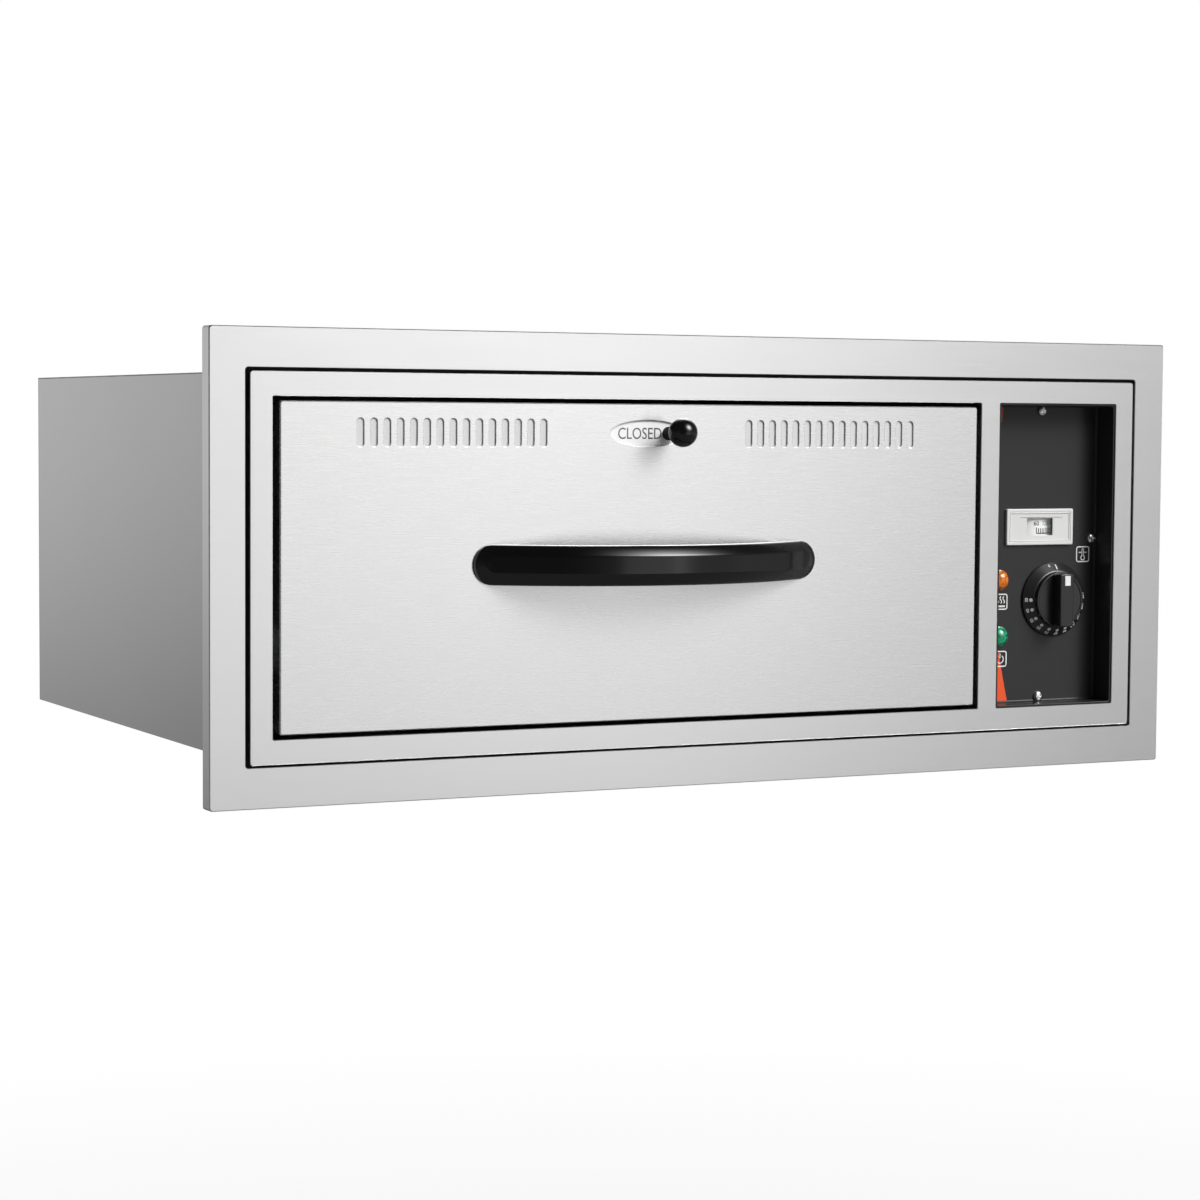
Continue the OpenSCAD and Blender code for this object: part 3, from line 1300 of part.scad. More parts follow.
module handle_screws() color(galvanised) at_handle_screws() {
    translate([0, skin_back + washer_t, 0]) rotate([-90, 0, 0])
        screw(handle_head_r, handle_head_h, handle_screw_r, skin_t + washer_t + handle_bite);
    difference() {
        peg_y(0, 0, washer_r, skin_back, skin_back + washer_t);
        peg_y(0, 0, handle_screw_r, skin_back - 1, skin_back + washer_t + 1);
    }
}

trim_flange();
groove_seal();
trim_brackets();
trim_screws();
front_frame();
casing_shell();
top_cover();
rear_cover();
cover_screws();
liner();
insulation_top();
insulation_bottom();
insulation_left();
insulation_right();
insulation_rear();
partition();
heater_element();
heater_clips();
heater_bushes();
control_panel();
control_screws();
thermometer_bezel();
thermometer_window();
thermometer_mask();
thermometer_case();
thermometer_drum();
lamp_lens_orange();
lamp_lens_green();
lamp_bodies();
thermostat_body();
thermostat_nut();
thermostat_shaft();
thermostat_knob();
capillary_bulb();
bulb_clips();
terminal_block();
wiring();
cord_gland();
gland_nut();
cabinet_rail_left();
cabinet_rail_right();
roller_front_left();
roller_front_right();
drawer_front();
drawer_inner();
front_insulation();
vent_guides();
vent_shutter();
vent_label();
vent_stem();
vent_knob();
handle();
handle_screws();
drawer_side_left();
drawer_side_right();
drawer_rear_bar();
roller_rear_left();
roller_rear_right();
food_pan();
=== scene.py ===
import json
import math

import bmesh
import bpy
import numpy as np
from mathutils import Euler, Matrix, Vector
from mathutils.geometry import tessellate_polygon


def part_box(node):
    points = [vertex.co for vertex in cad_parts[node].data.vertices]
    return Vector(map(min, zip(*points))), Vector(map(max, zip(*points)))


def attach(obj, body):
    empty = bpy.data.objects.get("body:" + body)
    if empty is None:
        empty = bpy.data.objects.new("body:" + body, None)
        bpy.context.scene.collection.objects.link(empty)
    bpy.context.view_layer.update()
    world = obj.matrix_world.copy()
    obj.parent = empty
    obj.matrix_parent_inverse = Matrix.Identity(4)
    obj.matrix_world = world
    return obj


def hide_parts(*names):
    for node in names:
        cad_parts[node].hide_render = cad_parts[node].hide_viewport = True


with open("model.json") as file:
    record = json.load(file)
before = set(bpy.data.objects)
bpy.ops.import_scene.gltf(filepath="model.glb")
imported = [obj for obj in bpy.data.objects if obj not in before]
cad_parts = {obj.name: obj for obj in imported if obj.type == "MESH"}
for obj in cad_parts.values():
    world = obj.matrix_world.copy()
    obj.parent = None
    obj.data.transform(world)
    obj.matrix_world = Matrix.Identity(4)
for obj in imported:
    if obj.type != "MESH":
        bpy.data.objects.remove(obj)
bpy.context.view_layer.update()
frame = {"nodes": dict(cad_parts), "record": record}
mm = 0.001  # every size below is in millimetres
scene = bpy.context.scene
print("frame loaded:", len(frame["nodes"]), "nodes")


def boxOf(node):
    # lowest and highest corner of a node, in millimetres
    low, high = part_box(node)
    return np.array(low) / mm, np.array(high) / mm


def rectOf(node, gap=(0, 0, 0, 0)):
    # (x0, x1, z0, z1) of a node seen from the front, with a gap left, right, below and above
    low, high = boxOf(node)
    return low[0] - gap[0], high[0] + gap[1], low[2] - gap[2], high[2] + gap[3]


# Surfaces: each function gives (points in millimetres, faces), and addPiece makes a mesh of them.

def gridFaces(rows, columns, closed=True):
    # quads between neighbouring rows and columns; closed joins the last column to the first
    i, j = np.meshgrid(np.arange(rows - 1), np.arange(columns if closed else columns - 1), indexing="ij")
    k = (j + 1) % columns
    quads = np.stack([i * columns + j, i * columns + k, (i + 1) * columns + k, (i + 1) * columns + j], -1)
    return quads.reshape(-1, 4).tolist()


def chamfer(corner, before, after, across, deep):
    # the two ends of a bevel that cuts a corner: across millimetres from it towards before,
    # and deep millimetres from it towards after
    corner, before, after = (np.asarray(p, float) for p in (corner, before, after))
    return [tuple(corner + (end - corner) / np.linalg.norm(end - corner) * size)
            for end, size in ((before, across), (after, deep))]


def bend(corners, radii, steps=5):
    # a folded line: each inner corner becomes an arc of its radius, and radius 0 keeps the point;
    # a row just before and after each arc keeps the flats beside it flat in the shading
    corners = np.asarray(corners, float)
    rows = [corners[:1]]
    for before, corner, after, radius in zip(corners, corners[1:], corners[2:], radii):
        if radius == 0:
            rows.append(corner[None])
            continue
        a = (before - corner) / np.linalg.norm(before - corner)
        b = (after - corner) / np.linalg.norm(after - corner)
        half = math.acos(np.clip(a @ b, -1, 1)) / 2
        centre = corner + (a + b) / np.linalg.norm(a + b) * radius / math.sin(half)
        start, end = (corner + s * radius / math.tan(half) - centre for s in (a, b))
        turn = math.pi - 2 * half
        t = np.linspace(0, 1, steps)[:, None]
        arc = centre + (np.sin((1 - t) * turn) * start + np.sin(t * turn) * end) / math.sin(turn)
        rows.append(np.concatenate([arc[:1] + a * radius * 0.15, arc, arc[-1:] + b * radius * 0.15]))
    return np.concatenate(rows + [corners[-1:]])


def roundedLoops(rect, grow, radius, steps=5):
    # rectangles (x0, x1, z0, z1) with round corners, one row for each grow: corner centre + radius (cos, sin);
    # rect is one rectangle, or one for each row
    grow, radius = np.broadcast_arrays(np.atleast_1d(np.asarray(grow, float)), np.asarray(radius, float))
    x0, x1, z0, z1 = np.broadcast_to(np.asarray(rect, float), (len(grow), 4)).T
    inset = (grow - radius)[:, None, None]
    turn = ((np.arange(4)[:, None] + np.linspace(0, 1, steps)) * np.pi / 2)[None]
    x = np.stack([x1, x0, x0, x1], 1)[:, :, None] + inset * np.array([1, -1, -1, 1])[None, :, None]
    z = np.stack([z1, z1, z0, z0], 1)[:, :, None] + inset * np.array([1, 1, -1, -1])[None, :, None]
    radius = radius[:, None, None]
    points = np.stack([x + radius * np.cos(turn), z + radius * np.sin(turn)], -1)
    return points.reshape(len(grow), 4 * steps, 2)


def frameSweep(rect, profile, radius, steps=5, flat=False):
    # a profile of (outward, depth) carried round a rounded rectangle; flat lays the rectangle in X and Y
    loops = roundedLoops(rect, profile[:, 0], radius, steps)
    depth = np.repeat(profile[:, 1][:, None], loops.shape[1], 1)
    order = (0, 1, 2) if flat else (0, 2, 1)
    points = np.stack([loops[..., 0], loops[..., 1], depth], -1)[..., list(order)]
    return points.reshape(-1, 3), gridFaces(*loops.shape[:2])


def flatFace(loops, depth, flat=False):
    # triangles that fill the first loop and leave the others open
    points = np.concatenate(loops)
    faces = tessellate_polygon([[Vector((x, z, 0)) for x, z in loop] for loop in loops])
    column = np.full(len(points), depth)
    return np.column_stack([points, column] if flat else [points[:, 0], column, points[:, 1]]), faces


def revolve(profile, centre, sides=64, axis="y"):
    # a profile of (radius, along) turned about an axis through centre; along runs towards -Y or +Z
    turn = np.linspace(0, 2 * np.pi, sides, endpoint=False)[None]
    radius, along = profile[:, 0][:, None], np.repeat(profile[:, 1][:, None], sides, 1)
    u, v = radius * np.cos(turn), radius * np.sin(turn)
    points = np.stack([u, -along, v] if axis == "y" else [u, v, along], -1) + np.asarray(centre)
    return points.reshape(-1, 3), gridFaces(len(profile), sides)


def obroundLoops(centres, z, width, height):
    # slots: two half circles a straight apart, one loop for each centre
    turn = np.linspace(0, np.pi, 9)
    half, reach = width / 2, (height - width) / 2
    loop = np.concatenate([np.stack([half * np.cos(turn), half * np.sin(turn) + reach], -1),
                           np.stack([-half * np.cos(turn), -half * np.sin(turn) - reach], -1)])
    return [loop + (x, z) for x in centres]


def circleLoop(centre, radius, steps=32):
    # radius is one size, or a pair across and up for an ellipse
    turn = np.linspace(0, 2 * np.pi, steps, endpoint=False)
    return np.stack([np.cos(turn), np.sin(turn)], -1) * radius + centre


def stroke(points, width, closed=False):
    # a flat line of even width along points: each point moved to both sides along its normal
    points = np.asarray(points, float)
    if closed:
        ahead, behind = np.roll(points, -1, 0), np.roll(points, 1, 0)
    else:
        ahead = np.concatenate([points[1:], 2 * points[-1:] - points[-2:-1]])
        behind = np.concatenate([2 * points[:1] - points[1:2], points[:-1]])
    along = (ahead - behind) / np.linalg.norm(ahead - behind, axis=1)[:, None]
    side = np.stack([-along[:, 1], along[:, 0]], -1) * width / 2
    return np.concatenate([points - side, points + side]), gridFaces(2, len(points), closed)


def writing(words, height, bold=0.0):
    # (points, faces) of a line of letters, centred on its own middle
    curve = bpy.data.curves.new("letters", "FONT")
    curve.body, curve.size, curve.resolution_u = words, 1.0, 4
    curve.align_x, curve.offset = "CENTER", bold
    holder = bpy.data.objects.new("letters", curve)
    scene.collection.objects.link(holder)
    bpy.context.view_layer.update()
    mesh = bpy.data.meshes.new_from_object(holder.evaluated_get(bpy.context.evaluated_depsgraph_get()))
    points = np.empty(len(mesh.vertices) * 3)
    mesh.vertices.foreach_get("co", points)
    faces = [tuple(face.vertices) for face in mesh.polygons]
    bpy.data.objects.remove(holder)
    bpy.data.curves.remove(curve)
    bpy.data.meshes.remove(mesh)
    points = points.reshape(-1, 3)[:, :2]
    low, high = points.min(0), points.max(0)
    return (points - (low + high) / 2) * height / (high[1] - low[1]), faces


def onFront(part, x, z, depth):
    # a flat drawing laid on a plane that faces forward
    points, faces = part
    return np.column_stack([points[:, 0] + x, np.full(len(points), depth), points[:, 1] + z]), faces


def addPiece(name, parts, finish, body, replaced=(), wall=0, facing=None, flat=False, crease=35):
    # joins parts, merges their shared rims and turns the faces outwards; wall is the thickness given to a sheet
    points = np.concatenate([p for p, f in parts]) * mm
    starts = np.cumsum([0] + [len(p) for p, f in parts])
    faces = [tuple(int(v) + start for v in face) for (p, f), start in zip(parts, starts) for face in f]
    mesh = bpy.data.meshes.new(name)
    mesh.from_pydata(points.tolist(), [], faces)
    shape = bmesh.new()
    shape.from_mesh(mesh)
    bmesh.ops.remove_doubles(shape, verts=shape.verts, dist=2e-6)
    bmesh.ops.dissolve_degenerate(shape, edges=shape.edges, dist=1e-7)
    if not flat:
        bmesh.ops.recalc_face_normals(shape, faces=shape.faces)
    if facing is not None:
        largest = max(shape.faces, key=lambda face: face.calc_area())
        if largest.normal.dot(Vector(facing)) < 0:
            bmesh.ops.reverse_faces(shape, faces=shape.faces)
    shape.to_mesh(mesh)
    shape.free()
    mesh.materials.append(finish)
    piece = bpy.data.objects.new(name, mesh)
    scene.collection.objects.link(piece)
    if wall:
        solid = piece.modifiers.new("wall", "SOLIDIFY")
        solid.thickness, solid.offset, solid.use_even_offset = wall * mm, -1, True
        bpy.context.view_layer.update()
        piece.data = bpy.data.meshes.new_from_object(piece.evaluated_get(bpy.context.evaluated_depsgraph_get()))
        piece.modifiers.clear()
    piece.data.shade_smooth()
    piece.data.set_sharp_from_angle(angle=math.radians(crease))
    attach(piece, body)
    if replaced:
        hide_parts(*replaced)
    return piece


# Materials: every pattern is in millimetres on the piece itself.

def linear(code):
    # sRGB hex to linear
    channels = np.array([int(code[i:i + 2], 16) for i in (1, 3, 5)]) / 255
    flat = np.where(channels <= 0.04045, channels / 12.92, ((channels + 0.055) / 1.055) ** 2.4)
    return (*flat.tolist(), 1.0)


def addNode(tree, kind, settings=(), values=(), links=()):
    # one node with its settings, its socket values and what is linked into it
    node = tree.nodes.new(kind)
    for key, value in dict(settings).items():
        setattr(node, key, value)
    for key, value in dict(values).items():
        node.inputs[key].default_value = value
    for key, source in dict(links).items():
        tree.links.new(source, node.inputs[key])
    return node


def newMaterial(name, **values):
    # a surface with constants on its own sockets: names as in the shader, with _ for a space
    material = bpy.data.materials.new(name)
    material.use_nodes = True
    tree = material.node_tree
    shader = tree.nodes["Principled BSDF"]
    for key, value in values.items():
        shader.inputs[key.replace("_", " ")].default_value = value
    return material, tree, shader


def grainOf(tree, size, detail=3.0, kind="ShaderNodeTexNoise", **values):
    # noise in object space; size is the length of one feature along X, Y and Z in millimetres
    place = addNode(tree, "ShaderNodeTexCoord")
    scaled = addNode(tree, "ShaderNodeMapping", values={"Scale": [1 / (s * mm) for s in size]},
                     links={"Vector": place.outputs["Object"]})
    settings = {"Scale": 1.0, **values}
    if kind == "ShaderNodeTexNoise":
        settings["Detail"] = detail
    return addNode(tree, kind, values=settings, links={"Vector": scaled.outputs["Vector"]})


def shift(tree, source, low, high):
    # maps 0..1 to low..high
    return addNode(tree, "ShaderNodeMapRange", values={"To Min": low, "To Max": high},
                   links={"Value": source}).outputs["Result"]


def tint(tree, shader, factor, darker, lighter):
    # base colour between two tones
    mix = addNode(tree, "ShaderNodeMix", {"data_type": "RGBA"}, links={0: factor})
    mix.inputs[6].default_value, mix.inputs[7].default_value = linear(darker), linear(lighter)
    tree.links.new(mix.outputs[2], shader.inputs["Base Color"])


def polish(tree, shader, factor, low, high):
    # roughness between two levels
    tree.links.new(shift(tree, factor, low, high), shader.inputs["Roughness"])


def relief(tree, shader, height, depth, strength=1.0):
    # bump of depth millimetres
    bump = addNode(tree, "ShaderNodeBump", values={"Strength": strength, "Distance": depth * mm},
                   links={"Height": height})
    tree.links.new(bump.outputs["Normal"], shader.inputs["Normal"])


def brushedSteel(name, grain, across, tones, rough, aniso, bump):
    # Stainless steel 304, brushed: hair lines along the grain smear what it mirrors across them.
    # Real lines are about 0.1 mm wide; they are drawn 0.7 mm wide so that they show.
    # grain is the size of a line along X, Y and Z, across the direction over the lines.
    material, tree, shader = newMaterial(name, Metallic=1.0, Roughness=rough, Anisotropic=aniso)
    lines = grainOf(tree, grain, 4.0)
    cloud = grainOf(tree, (160, 160, 160), 2.0)
    both = addNode(tree, "ShaderNodeMath", {"operation": "MULTIPLY_ADD"},
                   {1: 0.55}, {0: lines.outputs["Fac"], 2: shift(tree, cloud.outputs["Fac"], 0.0, 0.45)})
    tint(tree, shader, both.outputs[0], *tones)
    polish(tree, shader, lines.outputs["Fac"], rough - 0.025, rough + 0.025)
    tangent = addNode(tree, "ShaderNodeCombineXYZ", values={i: v for i, v in enumerate(across)})
    tree.links.new(tangent.outputs["Vector"], shader.inputs["Tangent"])
    relief(tree, shader, lines.outputs["Fac"], bump)
    return material


drawerSteel = brushedSteel("brushed stainless steel, drawer", (26, 0.9, 0.7), (0, 0, 1),
                           ("#dcdcdc", "#e6e6e6"), 0.27, 0.5, 0.001)
frameSteel = brushedSteel("brushed stainless steel, frame", (60, 1.1, 0.7), (0, 0, 1),
                          ("#dddddd", "#e5e5e5"), 0.26, 0.5, 0.001)
# the casing is the same stainless steel as the front, given a darker tone: painted shade on the casing's sides
shadedSideSteel = brushedSteel("brushed stainless steel, casing", (0.9, 0.9, 60), (0, 1, 0),
                         ("#bababb", "#c4c4c5"), 0.2, 0.2, 0.0004)
shutterSteel = brushedSteel("brushed stainless steel, shutter", (42, 0.9, 0.7), (0, 0, 1),
                            ("#cdcdcd", "#d8d8d8"), 0.62, 0.0, 0.0008)


def galvanisedSteel():
    # Hot-dip galvanised sheet: zinc crystals of 6 to 10 mm, each a slightly different grey.
    material, tree, shader = newMaterial("galvanised steel sheet", Metallic=1.0)
    flakes = grainOf(tree, (8, 8, 8), kind="ShaderNodeTexVoronoi")
    haze = grainOf(tree, (30, 30, 30))
    level = addNode(tree, "ShaderNodeSeparateColor", links={"Color": flakes.outputs["Color"]})
    tint(tree, shader, level.outputs["Red"], "#a9adb0", "#c6c9cb")
    polish(tree, shader, haze.outputs["Fac"], 0.36, 0.52)
    relief(tree, shader, level.outputs["Green"], 0.006)
    return material


def platedScrews(name, tones, rough):
    # Zinc-plated steel: bright, a little blue, with fine turning marks.
    material, tree, shader = newMaterial(name, Metallic=1.0)
    marks = grainOf(tree, (0.4, 0.4, 0.4))
    tint(tree, shader, marks.outputs["Fac"], *tones)
    polish(tree, shader, marks.outputs["Fac"], rough - 0.06, rough + 0.06)
    return material


def mouldedPlastic(name, tones, rough, size, depth, **values):
    # A moulded part: even colour with a very fine skin that breaks its reflections slightly.
    material, tree, shader = newMaterial(name, **values)
    skin = grainOf(tree, (size, size, size))
    cloud = grainOf(tree, (35, 35, 35))
    tint(tree, shader, cloud.outputs["Fac"], *tones)
    polish(tree, shader, cloud.outputs["Fac"], max(rough - 0.03, 0.02), rough + 0.03)
    relief(tree, shader, skin.outputs["Fac"], depth)
    return material


def glossEnamel():
    # Black gloss powder coat on sheet steel: mirror-like with a faint orange peel of 2 mm.
    material, tree, shader = newMaterial("black gloss powder coat", IOR=1.5, Specular_IOR_Level=0.3)
    peel = grainOf(tree, (2.2, 2.2, 2.2), 2.0)
    dust = grainOf(tree, (0.7, 0.7, 0.7), 4.0)
    tint(tree, shader, dust.outputs["Fac"], "#2b2b2c", "#363637")
    polish(tree, shader, dust.outputs["Fac"], 0.18, 0.3)
    relief(tree, shader, peel.outputs["Fac"], 0.006)
    return material


def mineralWool():
    # Rock wool blanket: matted yellow-grey fibres, 1 to 3 mm tufts.
    material, tree, shader = newMaterial("rock wool", Roughness=0.95, Specular_IOR_Level=0.1)
    fibres = grainOf(tree, (6, 1.2, 1.2), 8.0)
    tint(tree, shader, fibres.outputs["Fac"], "#8f8358", "#d9cfa6")
    relief(tree, shader, fibres.outputs["Fac"], 0.8)
    return material


def heaterSheath():
    # Nickel alloy sheath, annealed: dull olive grey with heat bloom.
    material, tree, shader = newMaterial("annealed heater sheath", Metallic=0.8)
    bloom = grainOf(tree, (18, 6, 6), 5.0)
    tint(tree, shader, bloom.outputs["Fac"], "#4a4741", "#7d7768")
    polish(tree, shader, bloom.outputs["Fac"], 0.42, 0.62)
    return material


def lampLens(name, tones, glow):
    # Coloured acrylic lens with prisms of 2 mm moulded inside, under a gloss skin; each facet gets a darker or
    # brighter tone, painted glints and shade on the prisms.
    material, tree, shader = newMaterial(name, IOR=1.49, Roughness=0.08, Coat_Weight=1.0, Coat_Roughness=0.03,
                                         Emission_Strength=0.06)
    prismsAndFacetGlints = grainOf(tree, (2.3, 2.3, 2.3), kind="ShaderNodeTexVoronoi")
    level = addNode(tree, "ShaderNodeSeparateColor", links={"Color": prismsAndFacetGlints.outputs["Color"]})
    # facet tones between dark and bright: painted glints and shade on the prisms
    tint(tree, shader, level.outputs["Red"], *tones)
    shader.inputs["Emission Color"].default_value = linear(glow)
    relief(tree, shader, prismsAndFacetGlints.outputs["Distance"], 0.5, 0.5)
    return material


def clearPane():
    # Clear acrylic pane, 1 mm: nearly unseen, with a thin gloss.
    material, tree, shader = newMaterial("clear acrylic pane", Base_Color=linear("#f4f7f8"), IOR=1.49,
                                         Alpha=0.05)
    smear = grainOf(tree, (12, 12, 12))
    polish(tree, shader, smear.outputs["Fac"], 0.02, 0.08)
    return material


def ink(name, code):
    # Screen-printed ink: flat colour, slightly uneven where it lies on the surface.
    return mouldedPlastic(name, (code, code), 0.5, 0.5, 0.003)


finishes = {
    "stainless_steel": frameSteel,
    "galvanised_steel": galvanisedSteel(),
    "zinc_plated_screws": platedScrews("zinc-plated screws", ("#9ea2a6", "#c9ccce"), 0.34),
    "bright_screws": platedScrews("bright nickel-plated screws", ("#eeeeec", "#fdfdfb"), 0.16),
    "mineral_wool": mineralWool(),
    "heater_sheath": heaterSheath(),
    "steatite": mouldedPlastic("steatite ceramic", ("#d9d3c2", "#ece7d8"), 0.7, 0.5, 0.02),
    "black_gloss_panel": glossEnamel(),
    "black_phenolic": mouldedPlastic("black phenolic, polished", ("#0b0b0c", "#101011"), 0.12, 1.2, 0.002,
                                     IOR=1.52),
    "black_satin": mouldedPlastic("black phenolic, satin", ("#222223", "#29292a"), 0.26, 0.9, 0.004, IOR=1.52),
    "black_stem": mouldedPlastic("black stem, moulded", ("#0a0a0b", "#0e0e0f"), 0.6, 0.8, 0.004,
                                 Specular_IOR_Level=0.15),
    # the black foam strip is a dark piece set in the trim's groove, where there is only shade: painted shade of
    # the open gap behind the trim
    "black_foam": mouldedPlastic("black strip as the groove's painted shade", ("#0c0c0c", "#151515"), 0.9, 0.5, 0.05),
    "black_nylon": mouldedPlastic("black nylon, moulded", ("#141415", "#1d1d1e"), 0.5, 0.5, 0.01),
    "white_bezel": mouldedPlastic("white ABS bezel", ("#dededc", "#e6e6e4"), 0.32, 0.6, 0.003),
    "clear_window": clearPane(),
    "scale_white": mouldedPlastic("painted scale", ("#dcdcda", "#e3e3e1"), 0.5, 0.6, 0.002),
    "amber_lens": lampLens("amber acrylic lens", ("#8a2604", "#fb8f16"), "#d8560a"),
    "green_lens": lampLens("green acrylic lens", ("#02382a", "#1cc088"), "#0c9a68"),
    "beige_phenolic": mouldedPlastic("beige phenolic, moulded", ("#b3ab9a", "#c6bfae"), 0.45, 0.5, 0.01),
    "copper": platedScrews("drawn copper tube", ("#a8632f", "#cd8752"), 0.3),
    "wire_insulation": mouldedPlastic("silicone wire insulation", ("#7a2a1c", "#92382a"), 0.55, 0.5, 0.01),
    "white_nylon": mouldedPlastic("white nylon, turned", ("#e4e4df", "#efefeb"), 0.38, 0.4, 0.01),
    "white_label": mouldedPlastic("white label", ("#f8f8f8", "#fdfdfd"), 0.42, 0.8, 0.002),
}
whiteInk = ink("white ink", "#eeeeec")
# the drum's white is brighter than the mask's scale white of the same paint: painted light that lifts the shade
# on the drum behind the window
drumWhiteAgainstShade = mouldedPlastic("scale drum, whitened as painted light", ("#f4f4f2", "#fbfbf9"), 0.5, 0.6, 0.002)
greyInk = ink("grey ink", "#565656")
darkInk = ink("dark grey ink", "#242424")
orangeInk = ink("orange ink", "#f2551c")
# the stripe's top sliver gets a darker red than the orange of its lower part: painted shade under the tray's
# top wall
shadedStripeInk = ink("stripe ink, dark red as painted shade", "#dc3c24")

for part in frame["record"]["subparts"]:
    node = frame["nodes"][part["node"]]
    finish = finishes[part["material_slot"]]
    # the casing shell takes the darker copy of the steel, which paints shade on its sides
    if part["node"] == "casing_shell":
        finish = shadedSideSteel
    for holder in node.material_slots:
        holder.material = finish
    if not node.material_slots:
        node.data.materials.append(finish)

# Trim and front frame: folded sheets, each a line of (outward, depth) carried round a rectangle.
casingRect = np.array(rectOf("front_frame"))
trim = {"gap": 2.7, "outer": 29, "depth": 14, "lip": 10, "floor": -4.2, "sheet": 1.2, "bend": 0.8,
        "floorBend": 0.5, "edge": (0.8, 0.6), "hole": (0.3, 0.4), "corners": [1.6, 2.4, 2.0],
        "wider": (-1.5, 0.3, 0.9, -0.3)}
outer = trim["outer"]
trimEdge = chamfer((outer, -trim["depth"]), (outer, 0), (0, -trim["depth"]), *trim["edge"])
trimHole = chamfer((trim["gap"], -trim["depth"]), (outer, -trim["depth"]), (trim["gap"], 0), *trim["hole"])
trimLine = bend([(outer - trim["lip"], 0), (outer, 0), *trimEdge, *trimHole, (trim["gap"], trim["floor"]),
                 (0.05, trim["floor"])], [trim["bend"], 0, 0, 0, 0, trim["floorBend"]])
trimCorner = np.interp(trimLine[:, 0], [0, trim["gap"], outer], trim["corners"])
# the hole of the trim stands a little wider at the sides than above and below
nearHole = np.interp(trimLine[:, 0], [trim["gap"] + 3, outer - 3], [1, 0])[:, None]
addPiece("trimFrame", [frameSweep(casingRect + nearHole * np.array(trim["wider"]), trimLine, trimCorner, 7)],
         frameSteel, "cabinet", ["trim_flange"], wall=trim["sheet"], facing=(0, -1, 0))

front = {"face": -15.2, "fold": (0.4, 0.3), "left": 1.3, "corner": 1.8, "hem": -2.0, "sheet": 1.2,
         "lap": (9.0, -3.2, -4.6), "tray": 8.2, "flange": 12, "drawerGap": (5, 3.9, 3, 3),
         "trayGap": (0.9, 0.3, 0, 0)}
opening = rectOf("drawer_front", front["drawerGap"])
recess = rectOf("control_panel", front["trayGap"])[:2] + opening[2:]
faceEdge = chamfer((0, front["face"]), (0, 0), (-4, front["face"]), *front["fold"])
holeEdge = chamfer((0, front["face"]), (3, front["face"]), (0, 0), *front["fold"][::-1])
lapEnd, lapTop, lapFoot = front["lap"]
outerLine = np.array([(-1, lapEnd), (-1, lapTop), (0, lapFoot), *faceEdge, (-4, front["face"])])
hemLine = np.array([(3, front["face"]), *holeEdge, (0, front["hem"])])
trayLine = bend([(3, front["face"]), *holeEdge, (0, front["tray"]), (-front["flange"], front["tray"])],
                [0, 0, 0.6])
outerRadius = np.interp(outerLine[:, 0], [-4, -1, 0], [0.6, 1.4, front["corner"]])
holeRadius = np.interp(hemLine[:, 0], [0, 3], [1.2, 2.5])
trayRadius = np.interp(trayLine[:, 0], [-front["flange"], 0, 3], [1.0, 1.2, 2.5])
# in front of the trim's floor the face reaches a little further to the left
inFront = np.interp(outerLine[:, 1], [lapFoot - 0.6, lapFoot], [1, 0])[:, None]
faceRect = casingRect + (-front["left"], 0, 0, 0)
faceLoops = [roundedLoops(faceRect, -4, 0.8)[0], roundedLoops(opening, 3, 2.5)[0],
             roundedLoops(recess, 3, 2.5)[0]]
addPiece("frontFrame", [frameSweep(casingRect + inFront * (faceRect - casingRect), outerLine, outerRadius),
                        frameSweep(opening, hemLine, holeRadius), frameSweep(recess, trayLine, trayRadius),
                        flatFace(faceLoops, front["face"])],
         frameSteel, "cabinet", ["front_frame"], wall=front["sheet"], facing=(0, -1, 0))
print("trim and front frame")

# Drawer front: a skin with a folded rim, two rows of vent slots and an oval opening.
low, high = boxOf("drawer_front")
drawerRect = rectOf("drawer_front")
drawerMiddle = (low[0] + high[0]) / 2 - 0.8  # of the oval and the two rows of slots
drawer = {"face": low[1], "back": high[1], "sheet": 1.0, "fold": (0.9, 0.7), "corner": 1.2, "round": 0.25,
          "slotCount": 15, "pitch": 9.58, "slotWide": 5.4, "slotHigh": 19.5, "ventDrop": 20.4, "between": 160.3,
          "ovalWide": 59, "ovalHigh": 18.6}
ventZ = high[2] - drawer["ventDrop"]
rowSteps = np.arange(drawer["slotCount"]) * drawer["pitch"]
slotCentres = np.concatenate([drawerMiddle - drawer["between"] / 2 - rowSteps,
                              drawerMiddle + drawer["between"] / 2 + rowSteps])
skinEdge = chamfer((0, drawer["face"]), (0, drawer["back"]), (-4, drawer["face"]), *drawer["fold"])
inside = drawer["sheet"]
skinLine = np.array([(-4, drawer["face"] + inside), (-inside, drawer["face"] + inside),
                     (-inside, drawer["back"]), (0, drawer["back"]), *skinEdge, (-4, drawer["face"])])
skinRadius = np.interp(skinLine[:, 0], [-4, 0], [0.8, drawer["corner"]])


def skinHoles(grow):
    # the oval and the slots of the skin, each grown by the same margin
    half = (drawer["ovalWide"] / 2 + grow, drawer["ovalHigh"] / 2 + grow)
    wide, high = drawer["slotWide"] + 2 * grow, drawer["slotHigh"] + 2 * grow
    return [circleLoop((drawerMiddle, ventZ), half, 72)] + obroundLoops(slotCentres, ventZ, wide, high)


